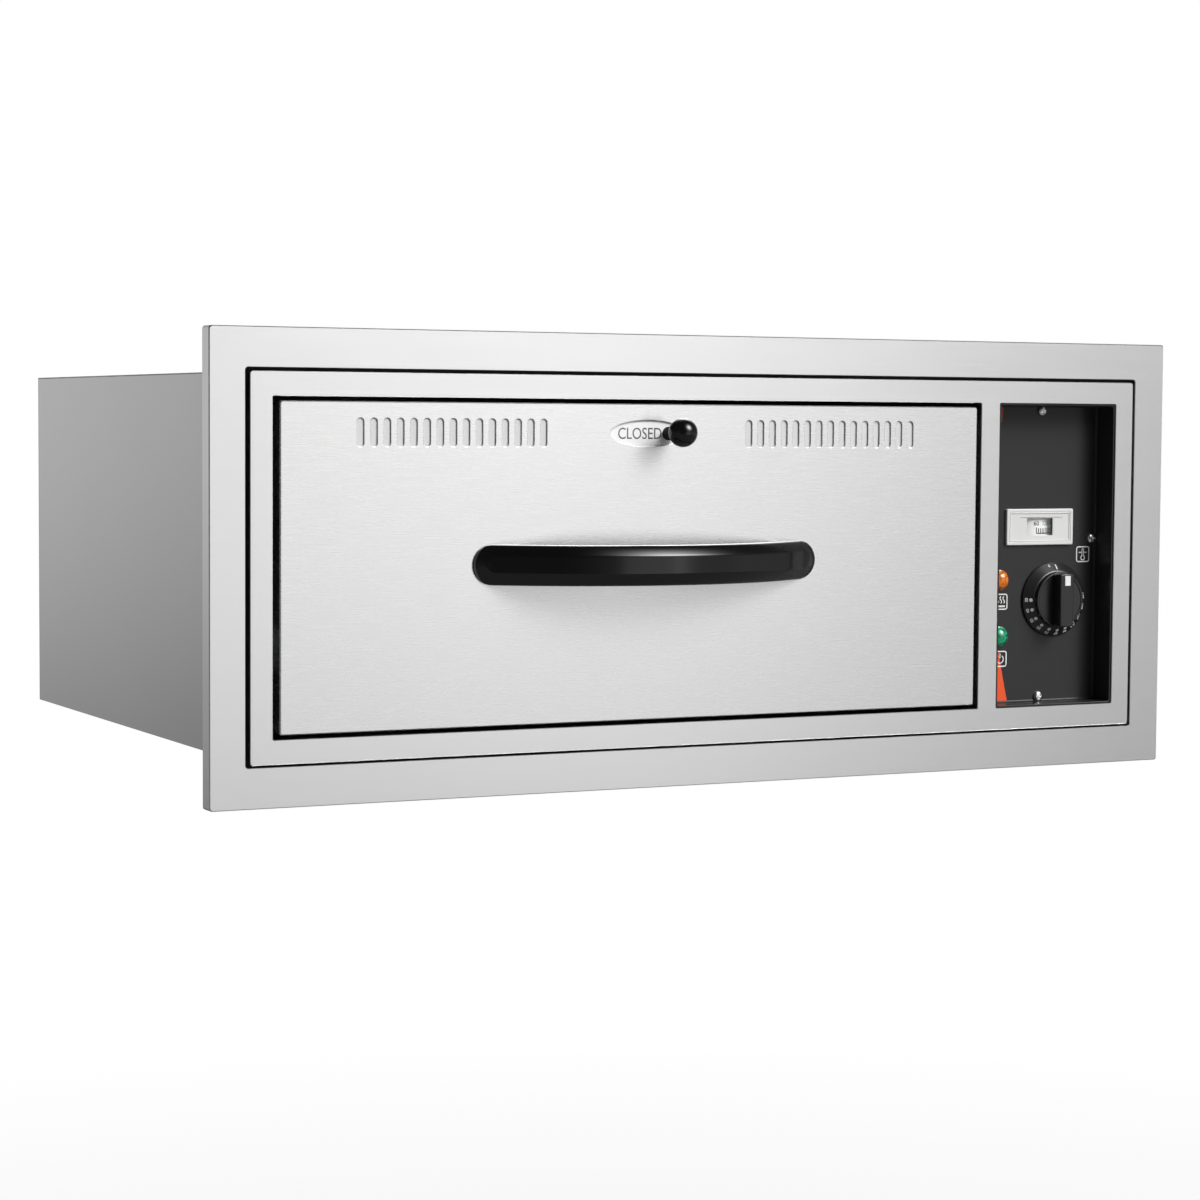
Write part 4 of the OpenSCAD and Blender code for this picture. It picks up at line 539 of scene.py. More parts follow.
# the rim of each hole as rows of (grow, depth): a quarter round, then straight back through the sheet
turn = np.linspace(0, np.pi / 2, 6)
skinRows = [(drawer["round"] / 2 + 0.1, drawer["face"]),
            *zip(drawer["round"] * (0.5 - np.sin(turn)), drawer["face"] + drawer["round"] * (1 - np.cos(turn))),
            (-drawer["round"] / 2, drawer["face"] + drawer["sheet"])]
skinWalls = []
for loops in zip(*[skinHoles(grow) for grow, depth in skinRows]):
    rows = [np.column_stack([loop[:, 0], np.full(len(loop), depth), loop[:, 1]])
            for loop, (grow, depth) in zip(loops, skinRows)]
    skinWalls.append((np.concatenate(rows), gridFaces(len(rows), len(rows[0]))))
rim = [roundedLoops(drawerRect, -4, 0.8)[0]]
addPiece("drawerFace", [frameSweep(drawerRect, skinLine, skinRadius),
                        flatFace(rim + skinHoles(skinRows[0][0]), skinRows[0][1]),
                        flatFace(rim + skinHoles(skinRows[-1][0]), skinRows[-1][1])] + skinWalls,
         drawerSteel, "drawer", ["drawer_front"], facing=(0, -1, 0))
print("drawer front")

# Handle
low, high = boxOf("handle")
handle = {"length": high[0] - low[0], "height": high[2] - low[2], "out": high[1] - low[1], "thick": 13,
          "pad": 4, "padEnd": 5.5, "shoulderTop": 7.0, "shoulderLow": 8.0, "drop": 5.5, "step": 2.2,
          "soft": 6.0}


def arcRise(x, halfChord, rise):
    # height of a circular arc over its chord
    arc = (halfChord ** 2 + rise ** 2) / (2 * rise)
    return np.sqrt(np.maximum(arc ** 2 - x ** 2, 0)) - (arc - rise)


def bowHandle():
    # rings from the middle line to a stadium outline, over the front, down the wall and back along the rear:
    # front depth = bow arc - shoulder drop (grows towards the outline),
    # rear depth = inner arc, not below the plate
    s = handle
    radius = s["height"] / 2
    straight = s["length"] / 2 - radius
    xs = np.linspace(straight, -straight, int(2 * straight / s["step"]))
    turn = np.linspace(np.pi / 2, 3 * np.pi / 2, 25)[1:-1]
    middle = np.concatenate([xs, np.full(len(turn), -straight), -xs, np.full(len(turn), straight)])
    outX = np.concatenate([xs * 0, np.cos(turn), xs * 0, -np.cos(turn)])
    outZ = np.concatenate([xs * 0 + 1, np.sin(turn), xs * 0 - 1, -np.sin(turn)])
    width = (s["shoulderTop"] + s["shoulderLow"]) / 2 + outZ * (s["shoulderTop"] - s["shoulderLow"]) / 2
    inner = 1 - width / radius
    ring = np.concatenate([np.linspace(0, 1, 5)[:-1, None] * (inner - 0.07),
                           inner + np.array([-0.07, 0.0, 0.07])[:, None],
                           inner + np.linspace(0.2, 1, 9)[:, None] ** 0.8 * (1 - inner)])
    x = middle + ring * radius * outX
    z = ring * radius * outZ
    toEdge = np.clip((1 - ring) * radius / width, 0, 1)
    drop = s["drop"] * (0.65 * (1 - toEdge) + 0.35 * (1 - np.sqrt(1 - (1 - toEdge) ** 2)))
    chord = s["length"] / 2 - s["padEnd"]
    # the bow runs out into its pads softly, (a + b + sqrt((a - b)^2 + soft^2)) / 2 for arc a and pad b,
    # and keeps its height in the middle
    rise = [(a + s["pad"] + np.sqrt((a - s["pad"]) ** 2 + s["soft"] ** 2)) / 2
            for a in (arcRise(x, chord, s["out"]), s["out"])]
    bow = rise[0] * s["out"] / rise[1]
    floor = np.maximum(arcRise(x, chord - 2 * s["thick"], s["out"] - s["thick"] + 1) - 1, 0)
    frontY = -np.maximum(bow - drop, floor + 1.5)
    backRing = np.array([1.0, 0.985, 0.94, 0.6, 0.3, 0.0])[:, None]
    backX = middle + backRing * radius * outX
    backZ = backRing * radius * outZ
    backFloor = np.maximum(arcRise(backX, chord - 2 * s["thick"], s["out"] - s["thick"] + 1) - 1, 0)
    lift = np.array([1.2, 0.35, 0.0, 0.0, 0.0, 0.0])[:, None] * (backFloor > 0.5)
    backY = -(backFloor + lift)
    points = np.concatenate([np.stack([x, frontY, z], -1), np.stack([backX, backY, backZ], -1)])
    centre = ((low[0] + high[0]) / 2, high[1], (low[2] + high[2]) / 2)
    return (points + centre).reshape(-1, 3), gridFaces(*points.shape[:2])


addPiece("bowHandle", [bowHandle()], finishes["black_phenolic"], "drawer", ["handle"],
         crease=50)
print("handle")

# Sliding vent: ball, slotted shutter and the two words on its label
low, high = boxOf("vent_knob")
ball = {"radius": 10.1, "neck": 4.75, "rings": 40, "shift": (-1.5, 0, 0.8)}
turn = np.linspace(0, np.pi - math.asin(ball["neck"] / ball["radius"]), ball["rings"])
ballLine = np.stack([ball["radius"] * np.sin(turn), ball["radius"] * np.cos(turn)], -1)
ballLine = np.concatenate([ballLine, [[ball["neck"], ballLine[-1, 1] + 2.0], [0, ballLine[-1, 1] + 2.0]]])
addPiece("ventBall", [revolve(ballLine, (low + high) / 2 + ball["shift"])], finishes["black_phenolic"],
         "vent", ["vent_knob"])

low, high = boxOf("vent_shutter")
shutter = {"travel": 33.53, "front": low[1], "back": high[1], "near": drawer["face"] + drawer["sheet"] + 0.12,
           "slotWide": 3.58, "slotHigh": 18.5, "margin": 2.2, "sides": 4.5, "stem": 2.5}


def ventShutter():
    # a plate whose two slotted fields are pressed forward until they lie close behind the drawer's skin;
    # at rest its slots stand the vent's whole travel to the right of the skin's slots
    s = shutter
    centres = slotCentres + s["travel"]
    reach = drawer["between"] / 2
    span = (drawer["slotCount"] - 1) * drawer["pitch"]
    tall = (ventZ - s["slotHigh"] / 2 - s["margin"], ventZ + s["slotHigh"] / 2 + s["margin"])
    fields = [(x - s["sides"], x + span + s["travel"] + s["sides"], *tall)
              for x in (drawerMiddle - reach - span, drawerMiddle + reach)]
    plate = roundedLoops(rectOf("vent_shutter"), 0, 0.6)[0]
    stem = circleLoop((np.mean(rectOf("vent_stem")[:2]), ventZ), s["stem"])
    slots = obroundLoops(centres, ventZ, s["slotWide"], s["slotHigh"])
    rims = [roundedLoops(field, 0.8, 1.8)[0] for field in fields]
    parts = [flatFace([plate, stem] + rims, s["front"]), flatFace([plate, stem] + slots, s["back"])]
    middle = drawerMiddle + s["travel"]
    for field, half in zip(fields, (centres < middle, centres > middle)):
        step = bend([(0.8, s["front"]), (0.3, s["front"]), (-0.3, s["near"]), (-0.6, s["near"])], [0.1, 0.1])
        parts.append(frameSweep(field, step, 1.0 + step[:, 0]))
        inner = roundedLoops(field, -0.6, 0.4)[0]
        parts.append(flatFace([inner] + obroundLoops(centres[half], ventZ, s["slotWide"], s["slotHigh"]),
                              s["near"]))
    for loop, start in [(slot, s["near"]) for slot in slots] + [(plate, s["front"]), (stem, s["front"])]:
        rows = [np.column_stack([loop[:, 0], np.full(len(loop), depth), loop[:, 1]])
                for depth in (start, s["back"])]
        parts.append((np.concatenate(rows), gridFaces(2, len(loop))))
    return parts


addPiece("ventShutter", ventShutter(), shutterSteel, "vent", ["vent_shutter"],
         facing=(0, -1, 0))

label = {"depth": boxOf("vent_label")[0][1], "height": 7.9, "closedX": -66.7, "closedWide": 33.8,
         "openWide": 20.5, "ink": 0.06}
label["openX"] = 2 * drawerMiddle - label["closedX"] - 2.5 + shutter["travel"]
for word in ("closed", "open"):
    points, faces = writing(word.upper(), label["height"])
    points[:, 0] *= label[word + "Wide"] / np.ptp(points[:, 0])
    letters = onFront((points, faces), label[word + "X"], ventZ, label["depth"] - label["ink"])
    addPiece("word" + word.title(), [letters], greyInk, "vent", wall=label["ink"], flat=True)
print("vent")

# Control tray and its screws
low, high = boxOf("control_panel")
trayRect = rectOf("control_panel")
tray = {"rim": low[1], "floor": high[1] - 1.2, "sheet": 1.2, "fold": 1.5, "window": (27, 10.6),
        "shaftHole": 5.3, "lampHole": 6.4, "screwIn": 5.2, "sideScrews": 124}
knobBox, bezelBox = boxOf("thermostat_knob"), boxOf("thermometer_bezel")
knobX, knobZ = ((knobBox[0] + knobBox[1]) / 2)[[0, 2]]
thermoX, thermoZ = ((bezelBox[0] + bezelBox[1]) / 2)[[0, 2]]
lampCentres = [((a + b) / 2)[[0, 2]] for a, b in (boxOf("lamp_lens_orange"), boxOf("lamp_lens_green"))]
trayMiddle = (trayRect[0] + trayRect[1]) / 2
screwCentres = [(trayMiddle, recess[2] + tray["screwIn"]), (trayMiddle, recess[3] - tray["screwIn"]),
                (recess[0] + tray["screwIn"], recess[2] + tray["sideScrews"]),
                (recess[1] - tray["screwIn"], recess[2] + tray["sideScrews"])]
wallLine = bend([(0, tray["rim"]), (-tray["sheet"], tray["rim"]), (-tray["sheet"], tray["floor"]),
                 (-4.6, tray["floor"]), (-5, tray["floor"])], [0.4, tray["fold"], 0])
wallRadius = np.interp(wallLine[:, 0], [-5, -1.2, 0], [0.8, 1.6, 2.0])
halfW, halfH = tray["window"]
floorLoops = [roundedLoops(trayRect, -5, 0.8)[0],
              roundedLoops((thermoX - halfW, thermoX + halfW, thermoZ - halfH, thermoZ + halfH), 0, 0.5)[0],
              circleLoop((knobX, knobZ), tray["shaftHole"])]
floorLoops += [circleLoop(centre, tray["lampHole"]) for centre in lampCentres]
addPiece("controlTray", [frameSweep(trayRect, wallLine, wallRadius), flatFace(floorLoops, tray["floor"])],
         finishes["black_gloss_panel"], "cabinet", ["control_panel"], wall=tray["sheet"],
         facing=(0, -1, 0))

screw = {"radius": 3.8, "height": 2.6, "shank": 1.7, "length": 4.5, "recess": 0.62, "arm": 0.13, "rings": 15,
         "sides": 48}


def panHead(centre):
    # a pan-head screw facing -Y: dome height = height sqrt(1 - (r/R)^2.6), less a cross recess that tapers down
    s = screw
    ring = np.linspace(0, 1, s["rings"])[:, None] ** 0.85
    turn = np.linspace(0, 2 * np.pi, s["sides"], endpoint=False)[None]
    u, v = ring * np.cos(turn) * s["radius"], ring * np.sin(turn) * s["radius"]
    dome = s["height"] * (0.35 + 0.65 * np.sqrt(np.maximum(1 - ring ** 2.6, 0)))
    inside = np.maximum(np.abs(u), np.abs(v)) < s["radius"] * s["recess"]
    thin = np.minimum(np.abs(u), np.abs(v)) < s["radius"] * s["arm"]
    depth = np.where(inside & thin, s["height"] * 0.55 * (1 - 0.6 * ring / s["recess"]), 0)
    head = np.stack([u, depth - dome, v], -1).reshape(-1, 3) + centre
    shankLine = np.array([(s["radius"], s["height"] * 0.35), (s["radius"], 0), (s["shank"], 0),
                          (s["shank"], -s["length"]), (0, -s["length"] - s["shank"])])
    return [(head, gridFaces(s["rings"], s["sides"])), revolve(shankLine, centre, s["sides"])]


addPiece("panelScrews", [part for x, z in screwCentres for part in panHead((x, tray["floor"], z))],
         finishes["bright_screws"], "cabinet", ["control_screws"], crease=40)
print("control tray")

# Thermometer: bezel, masked window and the drum that turns behind it
bezel = {"front": bezelBox[0][1], "rim": 3.6, "round": 0.7, "groove": 0.35, "sleeve": bezelBox[1][1],
         "sheet": 0.8}
face, rim = bezel["front"], bezel["rim"]
bezelLine = bend([(0, tray["floor"]), (0, face), (-2.1, face), (-2.3, face + bezel["groove"]),
                  (-2.7, face + bezel["groove"]), (-2.9, face), (-rim, face), (-rim, bezel["sleeve"])],
                 [bezel["round"], 0, 0, 0, 0, 0.3])
bezelRadius = np.interp(bezelLine[:, 0], [-rim, 0], [0.5, 1.2])
addPiece("thermometerBezel", [frameSweep(rectOf("thermometer_bezel"), bezelLine, bezelRadius)],
         finishes["white_bezel"], "cabinet", ["thermometer_bezel"], wall=bezel["sheet"],
         facing=(0, -1, 0))

mask = {"window": (23.4, 12.9), "over": 0.2, "line": 0.35, "ink": 0.05, "front": face + 0.6, "sheet": 0.8,
        "pane": face + 1.7, "paneThick": 0.6}
halfW, halfH = mask["window"][0] / 2, mask["window"][1] / 2
plateRect = rectOf("thermometer_mask", [mask["over"]] * 4)
windowRect = (thermoX - halfW, thermoX + halfW, thermoZ - halfH, thermoZ + halfH)
start, end = mask["front"], mask["front"] + mask["sheet"]
windowLine = bend([(1.0, start), (0, start), (0, end)], [0.3])
plateLine = bend([(-1.0, start), (0, start), (0, end)], [0.2])
plateFaces = [flatFace([roundedLoops(plateRect, -1, 0.4)[0], roundedLoops(windowRect, 1, 0.6)[0]], start),
              flatFace([roundedLoops(plateRect, 0, 0.4)[0], roundedLoops(windowRect, 0, 0.6)[0]], end)]
addPiece("maskPlate", [frameSweep(plateRect, plateLine, 0.4),
                       frameSweep(windowRect, windowLine, 0.6)] + plateFaces,
         finishes["scale_white"], "cabinet", ["thermometer_mask"], facing=(0, -1, 0))
paneRect = (windowRect[0] - 3, windowRect[1] + 3, windowRect[2] - 2, windowRect[3] + 2)
start, end = mask["pane"], mask["pane"] + mask["paneThick"]
paneLine = bend([(-1.0, start), (0, start), (0, end), (-1.0, end)], [0.1, 0.1])
paneLoops = [roundedLoops(paneRect, -1, 0.5)[0]]
addPiece("windowPane", [frameSweep(paneRect, paneLine, 0.5), flatFace(paneLoops, start),
                        flatFace(paneLoops, end)],
         finishes["clear_window"], "cabinet", ["thermometer_window"], facing=(0, -1, 0))
lines = [stroke([(-halfW - 6, halfH + 0.7), (halfW + 7, halfH + 0.7)], mask["line"]),
         stroke([(halfW + 8.2, halfH + 0.2), (halfW + 8.2, halfH + 1.4)], mask["line"])]
addPiece("maskPrint", [onFront(line, thermoX, thermoZ, mask["front"] - mask["ink"]) for line in lines],
         greyInk, "cabinet", wall=mask["ink"], flat=True)

scale = {"radius": 22, "ink": 0.06, "tickFrom": -5.0, "tickLong": 4.4, "tickShort": 3.8, "tickWide": 0.8,
         "perTick": 4.8, "ticks": 34, "ticksPerNumber": 5, "start": -3.6, "numbers": 7, "numberStep": 60,
         "numberZ": 2.6, "numberHigh": 3.5}
low, high = boxOf("thermometer_drum")
drumY = (low[1] + high[1]) / 2
drumLine = bend([(0.0, low[2]), (scale["radius"], low[2]), (scale["radius"], high[2]), (0.0, high[2])],
                [0.5, 0.5])
addPiece("scaleDrum", [revolve(drumLine, (thermoX, drumY, 0), 96, axis="z")], drumWhiteAgainstShade,
         "thermometer", ["thermometer_drum"])


def onDrum(part, angle):
    # a flat drawing wrapped on the drum: x becomes an angle about its axle
    points, faces = part
    reach = scale["radius"] + scale["ink"]
    turn = points[:, 0] / reach + angle
    return np.column_stack([thermoX + reach * np.sin(turn), drumY - reach * np.cos(turn),
                            points[:, 1] + thermoZ]), faces


drumMarks = []
for i in range(scale["ticks"]):
    long = scale["tickLong"] if i % scale["ticksPerNumber"] == 0 else scale["tickShort"]
    tick = stroke([(0, scale["tickFrom"]), (0, scale["tickFrom"] + long)], scale["tickWide"])
    drumMarks.append(onDrum(tick, math.radians(scale["start"] + i * scale["perTick"])))
sweep = math.radians(scale["perTick"] * (scale["ticks"] - 1)) * scale["radius"]
base = np.stack([np.linspace(0, 1, 40) * sweep, np.full(40, scale["tickFrom"])], -1)
drumMarks.append(onDrum(stroke(base, scale["tickWide"]), math.radians(scale["start"])))
for i in range(scale["numbers"]):
    points, faces = writing(str(scale["numberStep"] * (i + 1)), scale["numberHigh"], 0.015)
    angle = math.radians(scale["start"] + i * scale["ticksPerNumber"] * scale["perTick"])
    drumMarks.append(onDrum((points + (0, scale["numberZ"]), faces), angle))
addPiece("drumScale", drumMarks, darkInk, "thermometer", wall=scale["ink"], flat=True)
print("thermometer")

# Lamps
lens = {"radius": 7.6, "dome": 5.0, "domeIn": 0.7, "edge": 1.2, "stem": 6.4, "stemLong": 1.2}
turn = np.linspace(0, np.pi / 2, 12)
domeLine = np.stack([(lens["radius"] - lens["domeIn"]) * np.sin(turn),
                     lens["edge"] + lens["dome"] * np.cos(turn) ** 0.9], -1)
lensLine = np.concatenate([domeLine, [(lens["radius"], lens["edge"] - 0.2), (lens["radius"], 0),
                                      (lens["stem"], 0), (lens["stem"], -lens["stemLong"]),
                                      (0, -lens["stemLong"])]])
for colour, finish in (("orange", "amber_lens"), ("green", "green_lens")):
    low, high = boxOf("lamp_lens_" + colour)
    centre = ((low[0] + high[0]) / 2, tray["floor"], (low[2] + high[2]) / 2)
    addPiece(colour + "Lens", [revolve(lensLine, centre)], finishes[finish], "cabinet",
             ["lamp_lens_" + colour])
print("lamps")

# Thermostat knob
knob = {"radius": 28.1, "base": knobBox[1][1], "face": 20.7, "skirt": 9.6, "grip": 9.0, "gripWide": 12,
        "edge": 1.0, "cone": 5.8, "coneIn": 21.9, "bore": (3.1, 6.5)}
bore, boreDeep = knob["bore"]
knobLine = bend([(0.0, boreDeep), (bore, boreDeep), (bore, 0.0), (knob["radius"], 0),
                 (knob["radius"], knob["edge"]), (knob["coneIn"], knob["cone"]),
                 (knob["face"] + 0.35, knob["cone"] + 0.3), (knob["face"], knob["skirt"]),
                 (knob["face"] - 1.4, knob["skirt"]), (knob["face"] - 2.0, knob["skirt"] - 0.6),
                 (0.0, knob["skirt"] - 0.9)],
                [0, 0, 0.3, 0.5, 0.5, 0.3, 0.5, 0.3, 0.3])
knobCentre = (knobX, knob["base"], knobZ)


def gripBar():
    # outline: a strip of half width w cut by a circle of radius R; rings step inwards and up to the flat front
    turn = np.linspace(0, 1, 17)
    steps = bend([(0.0, knob["skirt"] - 1.2), (0.0, knob["skirt"] + knob["grip"]),
                  (3.0, knob["skirt"] + knob["grip"])], [1.0], 6)
    inset, height = steps[:, 0], steps[:, 1]
    w = knob["gripWide"] / 2 - inset + 0.5 * (1 - (height - height[0]) / (height[-1] - height[0]))
    reach = knob["face"] - 0.5 - inset
    spread = np.arcsin(w / reach)
    top = spread[:, None] * (1 - 2 * turn)[None]
    x = reach[:, None] * np.sin(top)
    z = reach[:, None] * np.cos(top)
    loops = np.stack([np.concatenate([x, -x], 1), np.concatenate([z, -z], 1)], -1)
    points = np.stack([loops[..., 0] + knobX, np.repeat(knob["base"] - height[:, None], loops.shape[1], 1),
                       loops[..., 1] + knobZ], -1)
    caps = [flatFace([loops[i] + (knobX, knobZ)], knob["base"] - height[i]) for i in (0, -1)]
    return [(points.reshape(-1, 3), gridFaces(*loops.shape[:2]))] + caps


addPiece("dialKnob", [revolve(knobLine, knobCentre, 96)] + gripBar(), finishes["black_satin"],
         "thermostat", ["thermostat_knob"], crease=30)

dial = {"dots": 11, "first": 180, "step": 18.5, "dotAt": 23.3, "dotSize": 1.35, "numberAt": 26.0,
        "numberHigh": 2.4, "firstNumber": 30, "numberStep": 10, "ink": 0.08, "pointer": (2.4, 3.7),
        "pointerAt": (0.3, 14.8)}
slope = (knob["cone"] - knob["edge"]) / (knob["radius"] - knob["coneIn"])


def onCone(part, angle, reach):
    # a flat drawing on the cone of the skirt: x runs round it, y outwards along it, tops pointing out
    points, faces = part
    radius = reach + points[:, 1] * math.cos(math.atan(slope))
    turn = math.radians(angle) - points[:, 0] / radius
    height = knob["edge"] + (knob["radius"] - radius) * slope + dial["ink"]
    return np.column_stack([knobX + radius * np.cos(turn), knob["base"] - height,
                            knobZ + radius * np.sin(turn)]), faces


sides = 16
dot = (np.concatenate([circleLoop((0, 0), dial["dotSize"], sides), [[0, 0]]]),
       [(j, (j + 1) % sides, sides) for j in range(sides)])
dialPrint = []
for i in range(dial["dots"]):
    angle = dial["first"] + i * dial["step"]
    number = writing(str(dial["firstNumber"] + dial["numberStep"] * i), dial["numberHigh"], 0.02)
    dialPrint += [onCone(dot, angle, dial["dotAt"]), onCone(number, angle, dial["numberAt"])]
dialPrint.append(onCone(stroke([(0, -2.2), (0, 2.4)], 0.8), 90, 24.6))
dialPrint.append(onCone(writing("0", dial["numberHigh"]), 103, dial["numberAt"]))
addPiece("dialMarks", dialPrint, whiteInk, "thermostat", wall=dial["ink"], flat=True)
pointerY = knob["base"] - knob["skirt"] - knob["grip"] - dial["ink"]
pointer = np.array([[-1, -1], [1, -1], [1, 1], [-1, 1]]) * dial["pointer"]
shiftX, shiftZ = dial["pointerAt"]
addPiece("pointerMark", [onFront((pointer, [(0, 1, 2, 3)]), knobX + shiftX, knobZ + shiftZ, pointerY)],
         whiteInk, "thermostat", wall=dial["ink"], flat=True)
print("knob")

# Printed marks on the tray
prints = {"ink": 0.05, "line": 0.75, "frame": 6, "corner": 1.6, "heat": (249.3, 93.5), "power": (249.3, 50.6),
          "setting": (323.3, 128.2), "stripe": 0.03,
          "stripeLow": [(234.2, 18.6), (256.1, 18.6), (234.2, 116.0)],
          "stripeHigh": [(234.2, 240.0), (249.4, 240.0), (247.9, 228.0), (234.2, 228.0)]}
half = prints["frame"]
frameLine = roundedLoops((-half, half, -half, half), -0.4, prints["corner"])[0]
wave = np.linspace(0, 1, 24)
# three wavy lines over a bar
heatMark = [stroke(np.stack([x + 0.75 * np.sin(wave * 2 * np.pi), -1.2 + wave * 5.2], -1), prints["line"])
            for x in (-2.6, 0, 2.6)] + [stroke([(-3.8, -3.4), (3.8, -3.4)], 1.3)]
# an open ring with a stroke in its gap
ringAngle = np.linspace(math.radians(125), math.radians(415), 36)
powerMark = [stroke(np.stack([3.0 * np.cos(ringAngle), 3.0 * np.sin(ringAngle) - 0.3], -1), prints["line"]),
             stroke([(0, 0.4), (0, 4.0)], prints["line"])]
# a bulb thermometer between two strokes
bulbAngle = np.linspace(math.radians(115), math.radians(425), 28)
settingMark = [stroke(np.stack([1.7 * np.cos(bulbAngle), 1.7 * np.sin(bulbAngle) - 2.7], -1), prints["line"]),
               stroke([(-0.7, -1.2), (-0.7, 3.6), (-0.35, 4.3), (0.35, 4.3), (0.7, 3.6), (0.7, -1.2)], 0.5),
               stroke([(-3.6, 1.4), (-1.4, 1.4)], prints["line"]),
               stroke([(1.4, 1.4), (3.6, 1.4)], prints["line"])]
trayPrint = [onFront(part, *prints[place], tray["floor"] - prints["ink"])
             for place, strokes in (("heat", heatMark), ("power", powerMark), ("setting", settingMark))
             for part in strokes + [stroke(frameLine, 0.9, closed=True)]]
addPiece("trayMarks", trayPrint, whiteInk, "cabinet", wall=prints["ink"], flat=True)
# the top part of the stripe takes the darker red ink, painted shade under the tray's top wall
for name, corners, finish in (("trayStripe", prints["stripeLow"], orangeInk),
                              ("trayStripeTop", prints["stripeHigh"], shadedStripeInk)):
    stripe = onFront((np.array(corners), [tuple(range(len(corners)))]), 0, 0, tray["floor"] - prints["stripe"])
    addPiece(name, [stripe], finish, "cabinet", wall=prints["stripe"], flat=True)
print("printed marks")

# Food pan
low, high = boxOf("food_pan")
pan = {"rim": 12, "edge": 2.2, "bend": 14, "taper": 9, "sheet": 0.9}
panRect = (low[0] + pan["sheet"], high[0] - pan["sheet"], low[1] + pan["sheet"], high[1] - pan["sheet"])
rimZ = high[2] - pan["edge"] - pan["sheet"]
wallIn = -pan["rim"]
panLine = bend([(0.0, rimZ + pan["sheet"] + pan["edge"]), (0.0, rimZ + pan["sheet"] + 0.2),
                (-1.5, rimZ + pan["sheet"]), (wallIn, rimZ + pan["sheet"]),
                (wallIn - pan["taper"], low[2] + pan["sheet"]),
                (wallIn - pan["taper"] - 45, low[2] + pan["sheet"])], [0.1, 0.8, 4.0, pan["bend"]], 7)
panRadius = np.maximum(np.interp(panLine[:, 0], [wallIn - pan["taper"] - 45, wallIn - 20, wallIn, 0],
                                 [6, 34, 44, 28]), 1)
bottom = roundedLoops(panRect, panLine[-1, 0], panRadius[-1], 9)[0]
addPiece("foodPan", [frameSweep(panRect, panLine, panRadius, 9, flat=True),
                     flatFace([bottom], panLine[-1, 1], flat=True)],
         frameSteel, "drawer", ["food_pan"], wall=pan["sheet"], facing=(0, 0, 1))
print("food pan")

# Camera, floor and light
camera = bpy.data.objects.new("camera", bpy.data.cameras.new("camera"))
scene.collection.objects.link(camera)
scene.camera = camera
# lens and sensor in millimetres, place in metres, turn in degrees about X, Y and Z
view = {"lens": 88.84, "sensor": 36.0, "place": (-1.01013, -1.83961, 0.22773),
        "turn": (86.5143, -0.3876, -26.5507)}
camera.data.lens, camera.data.sensor_width = view["lens"], view["sensor"]
turned = Euler([math.radians(angle) for angle in view["turn"]])
camera.matrix_world = Matrix.LocRotScale(Vector(view["place"]), turned, Vector((1, 1, 1)))

scene.view_settings.view_transform = "Standard"

studio = {"floorZ": -0.62, "floorReach": 3.2, "floorGrey": "#909090", "fade": (0.6, 2.0, 0.85),
          "background": 1.0}
floorMesh = bpy.data.meshes.new("floor")
corners = np.array([(-1, -1), (1, -1), (1, 1), (-1, 1)]) * studio["floorReach"]
floorMesh.from_pydata([(x, y, studio["floorZ"]) for x, y in corners.tolist()], [], [(0, 1, 2, 3)])
floor = bpy.data.objects.new("floor", floorMesh)
scene.collection.objects.link(floor)
material = bpy.data.materials.new("pale studio floor")
material.use_nodes = True
tree = material.node_tree
tree.nodes.clear()
path = addNode(tree, "ShaderNodeLightPath")
matte = addNode(tree, "ShaderNodeBsdfDiffuse", values={"Color": linear(studio["floorGrey"])})
white = addNode(tree, "ShaderNodeEmission", values={"Color": (1, 1, 1, 1), "Strength": studio["background"]})
# under the object the camera still sees a share of the matte floor, with its shadow; further out it is white
spot = addNode(tree, "ShaderNodeTexCoord")
far = addNode(tree, "ShaderNodeVectorMath", {"operation": "LENGTH"}, links={0: spot.outputs["Object"]})
near, wide, least = studio["fade"]
fade = addNode(tree, "ShaderNodeMapRange",
               values={"From Min": near, "From Max": wide, "To Min": least, "To Max": 1.0},
               links={"Value": far.outputs["Value"]})
share = addNode(tree, "ShaderNodeMath", {"operation": "MULTIPLY"}, {},
                {0: path.outputs["Is Camera Ray"], 1: fade.outputs["Result"]})
mix = addNode(tree, "ShaderNodeMixShader",
              links={0: share.outputs[0], 1: matte.outputs[0], 2: white.outputs[0]})
addNode(tree, "ShaderNodeOutputMaterial", links={"Surface": mix.outputs[0]})
floorMesh.materials.append(material)

# The room is brightness by direction: round the object, by degrees from straight in front, + to the right,
room = [(-180, 0.6), (-171, 0.9), (-164, 0.92), (-158, 0.57), (-146, 0.2), (-120, 0.12), (-92, 0.14),
        (-72, 0.22), (-56, 0.2), (-44, 0.06), (-26, 0.05), (-17, 0.08), (-9, 0.14), (-1.3, 0.24),
        (0.2, 0.28), (1.6, 0.6), (7, 0.7), (16, 0.76), (22, 0.78), (27, 1.14), (31, 0.72), (37, 0.39),
        (50, 0.37), (60, 0.4), (75, 0.32), (92, 0.2), (130, 0.4), (180, 0.6)]
# and upwards, by the sine of the height over the horizon
heights = [(-1.0, 0.15), (-0.35, 1.05), (-0.12, 1.3), (0.05, 0.74), (0.3, 0.4), (0.6, 0.22), (1.0, 0.1)]
# behind the object the light falls off faster towards the ground
behind = [(-1.0, 0.3), (-0.2, 0.32), (-0.11, 0.36), (0.03, 1.15), (0.3, 1.15), (0.6, 3.0), (1.0, 4.0)]
# The key light is a soft round glow: strength x cos(angle from its middle) ^ sharpness
key = {"toward": (0.405, -0.692, 0.598), "strength": 19.0, "sharpness": 33.0}


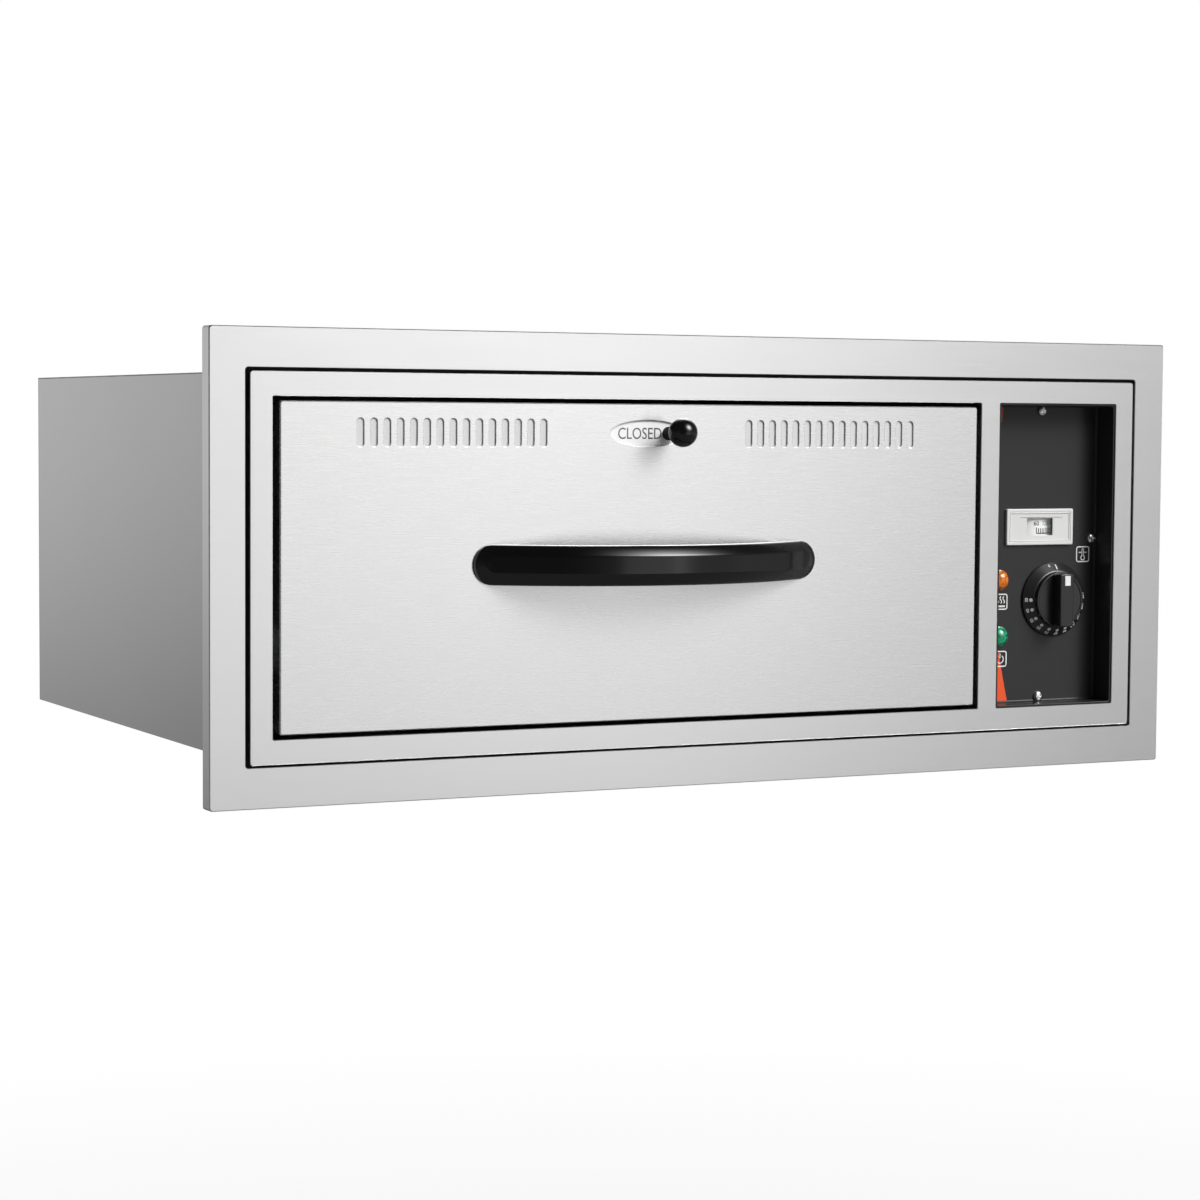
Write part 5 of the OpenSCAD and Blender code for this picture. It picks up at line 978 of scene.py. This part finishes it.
def ramp(tree, stops, low, high, value):
    # a curve through (place, level) stops, as a grey ramp
    place = addNode(tree, "ShaderNodeMapRange", values={"From Min": low, "From Max": high},
                    links={"Value": value})
    node = addNode(tree, "ShaderNodeValToRGB", links={"Fac": place.outputs["Result"]})
    elements = node.color_ramp.elements
    while len(elements) > 1:
        elements.remove(elements[-1])
    for index, (at, level) in enumerate(stops):
        element = elements[0] if index == 0 else elements.new((at - low) / (high - low))
        element.position, element.color = (at - low) / (high - low), (level, level, level, 1)
    return node.outputs["Color"]


world = bpy.data.worlds.new("studio")
scene.world = world
world.use_nodes = True
tree = world.node_tree
tree.nodes.clear()
look = addNode(tree, "ShaderNodeTexCoord")
axes = addNode(tree, "ShaderNodeSeparateXYZ", links={"Vector": look.outputs["Generated"]})
back = addNode(tree, "ShaderNodeMath", {"operation": "MULTIPLY"}, {1: -1.0}, {0: axes.outputs["Y"]})
angle = addNode(tree, "ShaderNodeMath", {"operation": "ARCTAN2"}, {},
                {0: axes.outputs["X"], 1: back.outputs[0]})
degrees = addNode(tree, "ShaderNodeMath", {"operation": "DEGREES"}, {}, {0: angle.outputs[0]})
around = addNode(tree, "ShaderNodeMath", {"operation": "MULTIPLY"}, {},
                 {0: ramp(tree, room, -180, 180, degrees.outputs[0]),
                  1: ramp(tree, heights, -1, 1, axes.outputs["Z"])})
# 0 at the sides and in front, 1 well behind
rear = addNode(tree, "ShaderNodeMapRange", values={"From Min": 0.0, "From Max": 0.4},
               links={"Value": axes.outputs["Y"]})
fall = addNode(tree, "ShaderNodeMix", {"data_type": "FLOAT"}, {2: 1.0},
               {0: rear.outputs["Result"], 3: ramp(tree, behind, -1, 1, axes.outputs["Z"])})
level = addNode(tree, "ShaderNodeMath", {"operation": "MULTIPLY"}, {},
                {0: around.outputs[0], 1: fall.outputs[0]})
towardKey = addNode(tree, "ShaderNodeVectorMath", {"operation": "DOT_PRODUCT"}, {1: key["toward"]},
                    {0: look.outputs["Generated"]})
inFrontOfKey = addNode(tree, "ShaderNodeMath", {"operation": "MAXIMUM"}, {1: 0.0},
                       {0: towardKey.outputs["Value"]})
glow = addNode(tree, "ShaderNodeMath", {"operation": "POWER"}, {1: key["sharpness"]},
               {0: inFrontOfKey.outputs[0]})
total = addNode(tree, "ShaderNodeMath", {"operation": "MULTIPLY_ADD"}, {1: key["strength"]},
                {0: glow.outputs[0], 2: level.outputs[0]})
path = addNode(tree, "ShaderNodeLightPath")
seen = addNode(tree, "ShaderNodeMath", {"operation": "MAXIMUM"}, {},
               {0: path.outputs["Is Camera Ray"], 1: path.outputs["Is Transmission Ray"]})
mixed = addNode(tree, "ShaderNodeMix", {"data_type": "FLOAT"}, {3: studio["background"]},
                {0: seen.outputs[0], 2: total.outputs[0]})
sky = addNode(tree, "ShaderNodeBackground", {}, {"Color": (1, 1, 1, 1)}, {"Strength": mixed.outputs[0]})
addNode(tree, "ShaderNodeOutputWorld", links={"Surface": sky.outputs[0]})
print("camera, floor and light")
